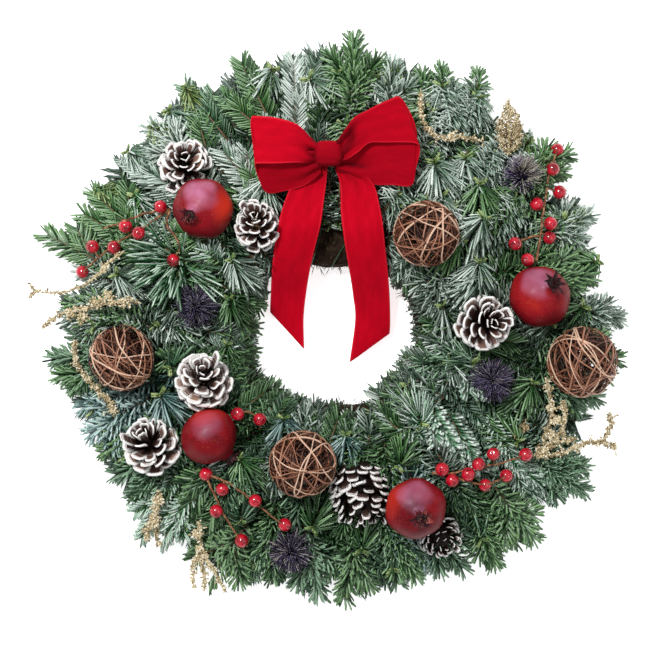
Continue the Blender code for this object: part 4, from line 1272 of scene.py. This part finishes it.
def goldPlume(material):  # an upright head of tiny flowers on threads that arch up and out
    centre, size = middleOf("gold_plume")
    foot, tall = centre - (0, size[1] / 2, 0), size[1]
    lines, parts = [], []
    for branch in range(46):
        share = 0.78 * (branch + draws.random()) / 46
        start = foot + (0, tall * share, 0)
        reach = 15 * mm * math.sin(math.pi * (0.22 + 0.98 * share)) * draws.uniform(0.6, 1)
        out = np.array([reach * (1 if branch % 2 else -1), 0, draws.uniform(-0.2, 0.5) * reach])
        steps = np.linspace(0, 1, 7)[:, None]
        climb = tall * draws.uniform(0.08, 0.18)
        line = start + out * np.sqrt(steps) + np.array([0, climb, 0]) * steps ** 1.4
        lines.append((line, 0.4 * mm))
        parts.append(seedsOn(line, 26, 1.0, 2.3, *plumeTones[branch % 3]))
    stalk = foot + np.array([0, 1, 0]) * np.linspace(0, tall * 0.94, 8)[:, None]
    lines.append((stalk, 0.8 * mm))
    parts.append(seedsOn(stalk, 80, 1.6, 2.6, 0.2, 0.9))
    parts.append(sweep(lines, 4, tone=(0.2, 0.3)))
    makePiece("goldPlume", parts, material, ("gold_plume",))


# Dried millet and asparagus: straw gold, matt, each seed a little darker towards its foot, as painted shade
# inside the heads
straw = stripMaterial("driedGoldTwig", 0.7, 0.3, (0.0, "#5C4A2E"), (0.35, "#A8946C"), (0.7, "#DACBA6"),
                      (1.0, "#FBF5E6"))
for name in twigLines:
    goldTwig(name, straw)
goldPlume(straw)
print("twigs made")


# Bow of velvet ribbon, 38 mm wide with satin edges. Each piece has stations of centre and half width in mm

bowSettings = {"thick": 1.1, "across": 16, "steps": 9}
loopLeft = (
    ((-11, 169, 88), (0, 8, 3)), ((-22, 173, 96), (0.5, 13, 3)), ((-36, 179, 102), (0.5, 19, 2)),
    ((-56, 181.5, 104), (1, 22.5, 1)), ((-73, 182.5, 102.5), (-0.5, 23.5, 1)),
    ((-79, 181, 99), (-2, 23.5, 2)), ((-77, 167, 93), (-3, 22, 9)), ((-69, 151, 88), (-3, 20, 13)),
    ((-48, 152, 87), (-1.5, 19, 13)), ((-29, 155, 86), (-1, 17, 9)), ((-11, 162, 85), (0, 11, 3)),
)
loopRight = (
    ((4, 170, 88), (0, 8, 3)), ((13, 177, 96), (-1.5, 13.5, 4)), ((24, 187.5, 101), (-2, 17, 5)),
    ((36, 195.5, 102), (-1.5, 15.8, 5)), ((50, 199, 102.5), (-3, 18.7, 6)), ((63, 201.5, 102), (-5, 21, 6)),
    ((75.5, 202.5, 101), (-8.5, 23, 5)),
    ((81.5, 195, 96), (-7, 22.3, 5)), ((84, 178, 88), (-1, 22, 8)), ((82, 160.5, 82.5), (1.5, 22, 10)),
    ((62, 161, 81.5), (1, 22, 10)), ((40, 161, 81.5), (0.5, 21.5, 9)), ((20, 161, 82), (0, 14, 5)),
    ((4, 162, 84), (0, 9, 2)),
)
tailLeft = (
    ((-13, 160, 78), (9, 0, 0)), ((-22, 140, 75), (17, 2, 0)), ((-29, 114, 74), (21, 4, 0)),
    ((-33, 92, 72), (22, 4, 0)), ((-37.5, 70, 61), (21, 4, 0)), ((-41, 50, 47), (19.5, 3, 0)),
    ((-43.5, 30, 31), (18, 1, 0)), ((-45.5, 8, 18), (17, -4, 0)), ((-45, -9, 11), (17, -19, 0)),
)
tailRight = (
    ((6, 160, 78), (6.5, 0, 0)), ((23.5, 138, 75), (16, 1, 0)), ((28, 112, 74), (19.5, 2, 0)),
    ((31, 90, 72), (20, 3, 0)), ((34, 68, 61), (19.5, 3, 0)), ((37, 48, 47), (19, 2, 0)),
    ((39.5, 26, 31), (18.5, 0, 0)), ((41, 2, 18), (17.8, 0, 0)), ((38, -26.5, 9), (20.5, 15, 0)),
)


def velvetMaterial():
    # Cotton velvet: dense upright pile, so it is matt with a sheen at grazing angles; satin selvedges. The
    # shade attribute darkens it, as painted shade in folds and on the lower layers
    material, tree = newMaterial("redVelvet", 0.9, 0.08, {
        "Sheen Weight": 0.25, "Sheen Roughness": 0.3, "Sheen Tint": "#FF3A44"})
    place, across, _ = stripPlace(tree)
    brushed = addNode(tree, "Mapping", {"Scale": (6.0, 14.0, 1.0), 0: place})
    colour = ramp(tree, noise(tree, brushed, 1.0, 4.0, 0.55), (0.3, "#AE0018"), (0.5, "#B8001A"),
                  (0.7, "#C2021E"))
    aside = calc(tree, "ABSOLUTE", calc(tree, "SUBTRACT", across, 0.5))
    # the selvedge band is painted lighter: partly the satin's own look, partly a painted sheen
    edge = ramp(tree, aside, (0.455, "#000000"), (0.465, "#FFFFFF"), (0.485, "#FFFFFF"), (0.492, "#404040"))
    paintedShade = addNode(tree, "Attribute", {"attribute_name": "shade"})
    seen = calc(tree, "MULTIPLY", edge, calc(tree, "SUBTRACT", 1.0, paintedShade))
    pile = addNode(tree, "Mapping", {"Scale": (45.0, 260.0, 1.0), 0: place})
    return fill(material, {"Base Color": mixed(tree, seen, mixed(tree, paintedShade, colour, "#6E000E"), "#D01C2E"),
                           "Normal": bumped(tree, noise(tree, pile, 1.0), 0.25, 0.0006)})


def cloth(name, stations, pleats, node, shades, folds):
    # A ribbon from one grid: its rows follow the stations, pleats are (share along, reach, depth in mm,
    # number, phase), shades are how much painted shade lies on a loop's upper and lower layer, and folds
    # are soft dents with painted shade (share along, share across, reach along, reach across, depth in mm)
    loops = "Loop" in name
    # A loop lies high, so from above it looks a little larger than its stations, which are as seen
    near = np.array((0.976, 0.976, 1) if loops else (1, 1, 1)) * mm
    centres = smoothLine(np.array([c for c, _ in stations], float), bowSettings["steps"]) * near
    halves = smoothLine(np.array([h for _, h in stations], float), bowSettings["steps"]) * mm
    runs = np.r_[0, np.cumsum(np.linalg.norm(np.diff(centres, axis=0), axis=1))]
    outward = unit(np.cross(unit(np.gradient(centres, axis=0)), halves))
    shape = bmesh.new()
    bmesh.ops.create_grid(shape, x_segments=bowSettings["across"], y_segments=len(runs) - 1, size=0.5)
    layer = shape.loops.layers.uv.new("OFBake")
    paintedShade = shape.verts.layers.float.new("shade")
    for vert in shape.verts:
        row, share = round((vert.co.y + 0.5) * (len(runs) - 1)), vert.co.x * 2
        spot, along = centres[row] + halves[row] * share, runs[row] / runs[-1]
        for middle, reach, depth, number, phase in pleats:
            fade = math.exp(-(((along - middle) / reach) ** 2))
            spot = spot + outward[row] * (depth * mm * fade * math.cos(number * math.pi * share + phase))
        for loop in vert.link_loops:
            loop[layer].uv = (0.5 + share * 0.5, runs[row] / 0.3)
        # painted shade: darker at the gathers by the knot, deepest in the pleats' valleys and in the dents
        gatherShade = math.exp(-((along / 0.13) ** 2)) + 0.45 * math.exp(-(((1 - along) / 0.13) ** 2)) * loops
        dents = 0
        for middle, aside, reach, spread, depth in folds:
            dent = math.exp(-(((along - middle) / reach) ** 2) - ((share - aside) / spread) ** 2)
            spot = spot - (0, 0, depth * mm * dent)
            dents = dents + dent
        vert.co = Vector(spot)
        valley = 0.5 + 0.5 * math.cos(pleats[0][3] * math.pi * share + pleats[0][4])
        layerShade = float(np.interp(along, (0.5, 0.56), shades))
        vert[paintedShade] = min(layerShade + gatherShade * (0.35 + 0.6 * valley) + 0.8 * dents, 1)
    bmesh.ops.recalc_face_normals(shape, faces=shape.faces)
    piece = pieceOf(name, shape, velvet, (node,))
    wall = piece.modifiers.new("thickness", "SOLIDIFY")
    wall.thickness = bowSettings["thick"] * mm
    wall.offset = 0
    soften = piece.modifiers.new("soften", "SUBSURF")
    soften.levels = soften.render_levels = 1
    freeze(piece)
    return piece, runs[-1]


def ribbonKnot():  # a squarish pad, creased across
    low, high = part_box("bow_knot")
    middle, half = (low + high) / 2 + Vector((0.5, -3.2, 0)) * mm, (high - low) / 2
    half.x *= 1.24
    half.z *= 0.82
    shape = bmesh.new()
    bmesh.ops.create_uvsphere(shape, u_segments=40, v_segments=28, radius=1)
    layer = shape.loops.layers.uv.new("OFBake")
    paintedShade = shape.verts.layers.float.new("shade")
    for vert in shape.verts:
        x, y, z = Vector(math.copysign(abs(c) ** 0.6, c) for c in vert.co)
        crease = 0.05 * math.cos(7 * vert.co.y + 1.2 * vert.co.x) * max(vert.co.z, 0)
        # painted shade: darker towards the knot's lower side and its ends
        vert[paintedShade] = min(max(0.62 - 0.2 * vert.co.y + 0.35 * abs(vert.co.x) ** 3, 0), 1)
        vert.co = (middle.x + x * half.x * (1 + crease), middle.y + y * half.y,
                   middle.z + z * half.z * (1 + crease))
        for loop in vert.link_loops:
            loop[layer].uv = (0.5 + (vert.co.y - middle.y) / 0.06, (vert.co.x - middle.x) / 0.3)
    pieceOf("ribbonKnot", shape, velvet, ("bow_knot",))


velvet = velvetMaterial()
for name, stations, pleats, node, shades, folds in (
        ("ribbonLoopLeft", loopLeft, ((0.0, 0.13, 3.6, 2, 0.4), (1.0, 0.15, 3.0, 2, 1.0)), "bow_loop_left",
         (0.0, 0.45), ((0.06, -0.3, 0.035, 0.5, 4),)),
        ("ribbonLoopRight", loopRight, ((0.0, 0.13, 3.6, 2, 1.2), (1.0, 0.15, 3.0, 2, 0.2)), "bow_loop_right",
         (0.18, 0.34), ((0.11, 0.15, 0.035, 0.45, 4), (0.9, -0.2, 0.05, 0.12, 2))),
        ("ribbonTailLeft", tailLeft, ((0.0, 0.22, 2.0, 2, 0.5), (0.55, 0.2, 0.8, 1, 0.6)), "bow_tail_left",
         (0.0, 0.0), ()),
        ("ribbonTailRight", tailRight, ((0.0, 0.22, 2.0, 2, 0.9), (0.6, 0.2, 0.8, 1, 0.3)), "bow_tail_right",
         (0.0, 0.0), ())):
    piece, long = cloth(name, stations, pleats, node, shades, folds)
    print(name, "is", round(long, 4), "m long")
ribbonKnot()
print("bow made")


# Floor, light and camera

def whiteFloor():
    # Opal acrylic light table, glowing faintly, so that shadows on it stay thin
    material, tree = newMaterial("opalAcrylic", 0.6, 0.1, {"Emission Strength": 0.8})
    colour = ramp(tree, noise(tree, addNode(tree, "TexCoord", {}), 300.0), (0.3, "#F4F4F4"), (0.7, "#F8F8F8"))
    fill(material, {"Base Color": colour, "Emission Color": colour})
    shape = bmesh.new()
    bmesh.ops.create_grid(shape, x_segments=1, y_segments=1, size=6)
    mesh = bpy.data.meshes.new("floor")
    shape.to_mesh(mesh)
    shape.free()
    floor = bpy.data.objects.new("floor", mesh)
    bpy.context.scene.collection.objects.link(floor)
    mesh.materials.append(material)


whiteFloor()
scene = bpy.context.scene
scene.view_settings.view_transform = "Standard"
world = bpy.data.worlds.new("softWhite")
world.use_nodes = True
world.node_tree.nodes["Background"].inputs[0].default_value = linear("#F4F7FA")
world.node_tree.nodes["Background"].inputs[1].default_value = 0.5
scene.world = world
for name, spot, size, power in (
        ("keyFromTopLeft", (-0.9, 1.1, 2.7), 0.4, 78), ("fillFromRight", (1.8, -0.6, 2.4), 1.6, 10)):
    lamp = bpy.data.lights.new(name, "AREA")
    lamp.size = size
    lamp.energy = power
    held = bpy.data.objects.new(name, lamp)
    held.location = spot
    held.rotation_mode = "QUATERNION"
    held.rotation_quaternion = (-Vector(spot)).to_track_quat("-Z", "Y")
    scene.collection.objects.link(held)

cameraSettings = {"height": 3.04, "sharpPlane": 0.04, "shown": 0.665, "middle": (0.0005, -0.0105)}
lens = bpy.data.cameras.new("camera")
lens.sensor_width = 36
lens.lens = 36 * (cameraSettings["height"] - cameraSettings["sharpPlane"]) / cameraSettings["shown"]
camera = bpy.data.objects.new("camera", lens)
camera.location = (*cameraSettings["middle"], cameraSettings["height"])
scene.collection.objects.link(camera)
scene.camera = camera
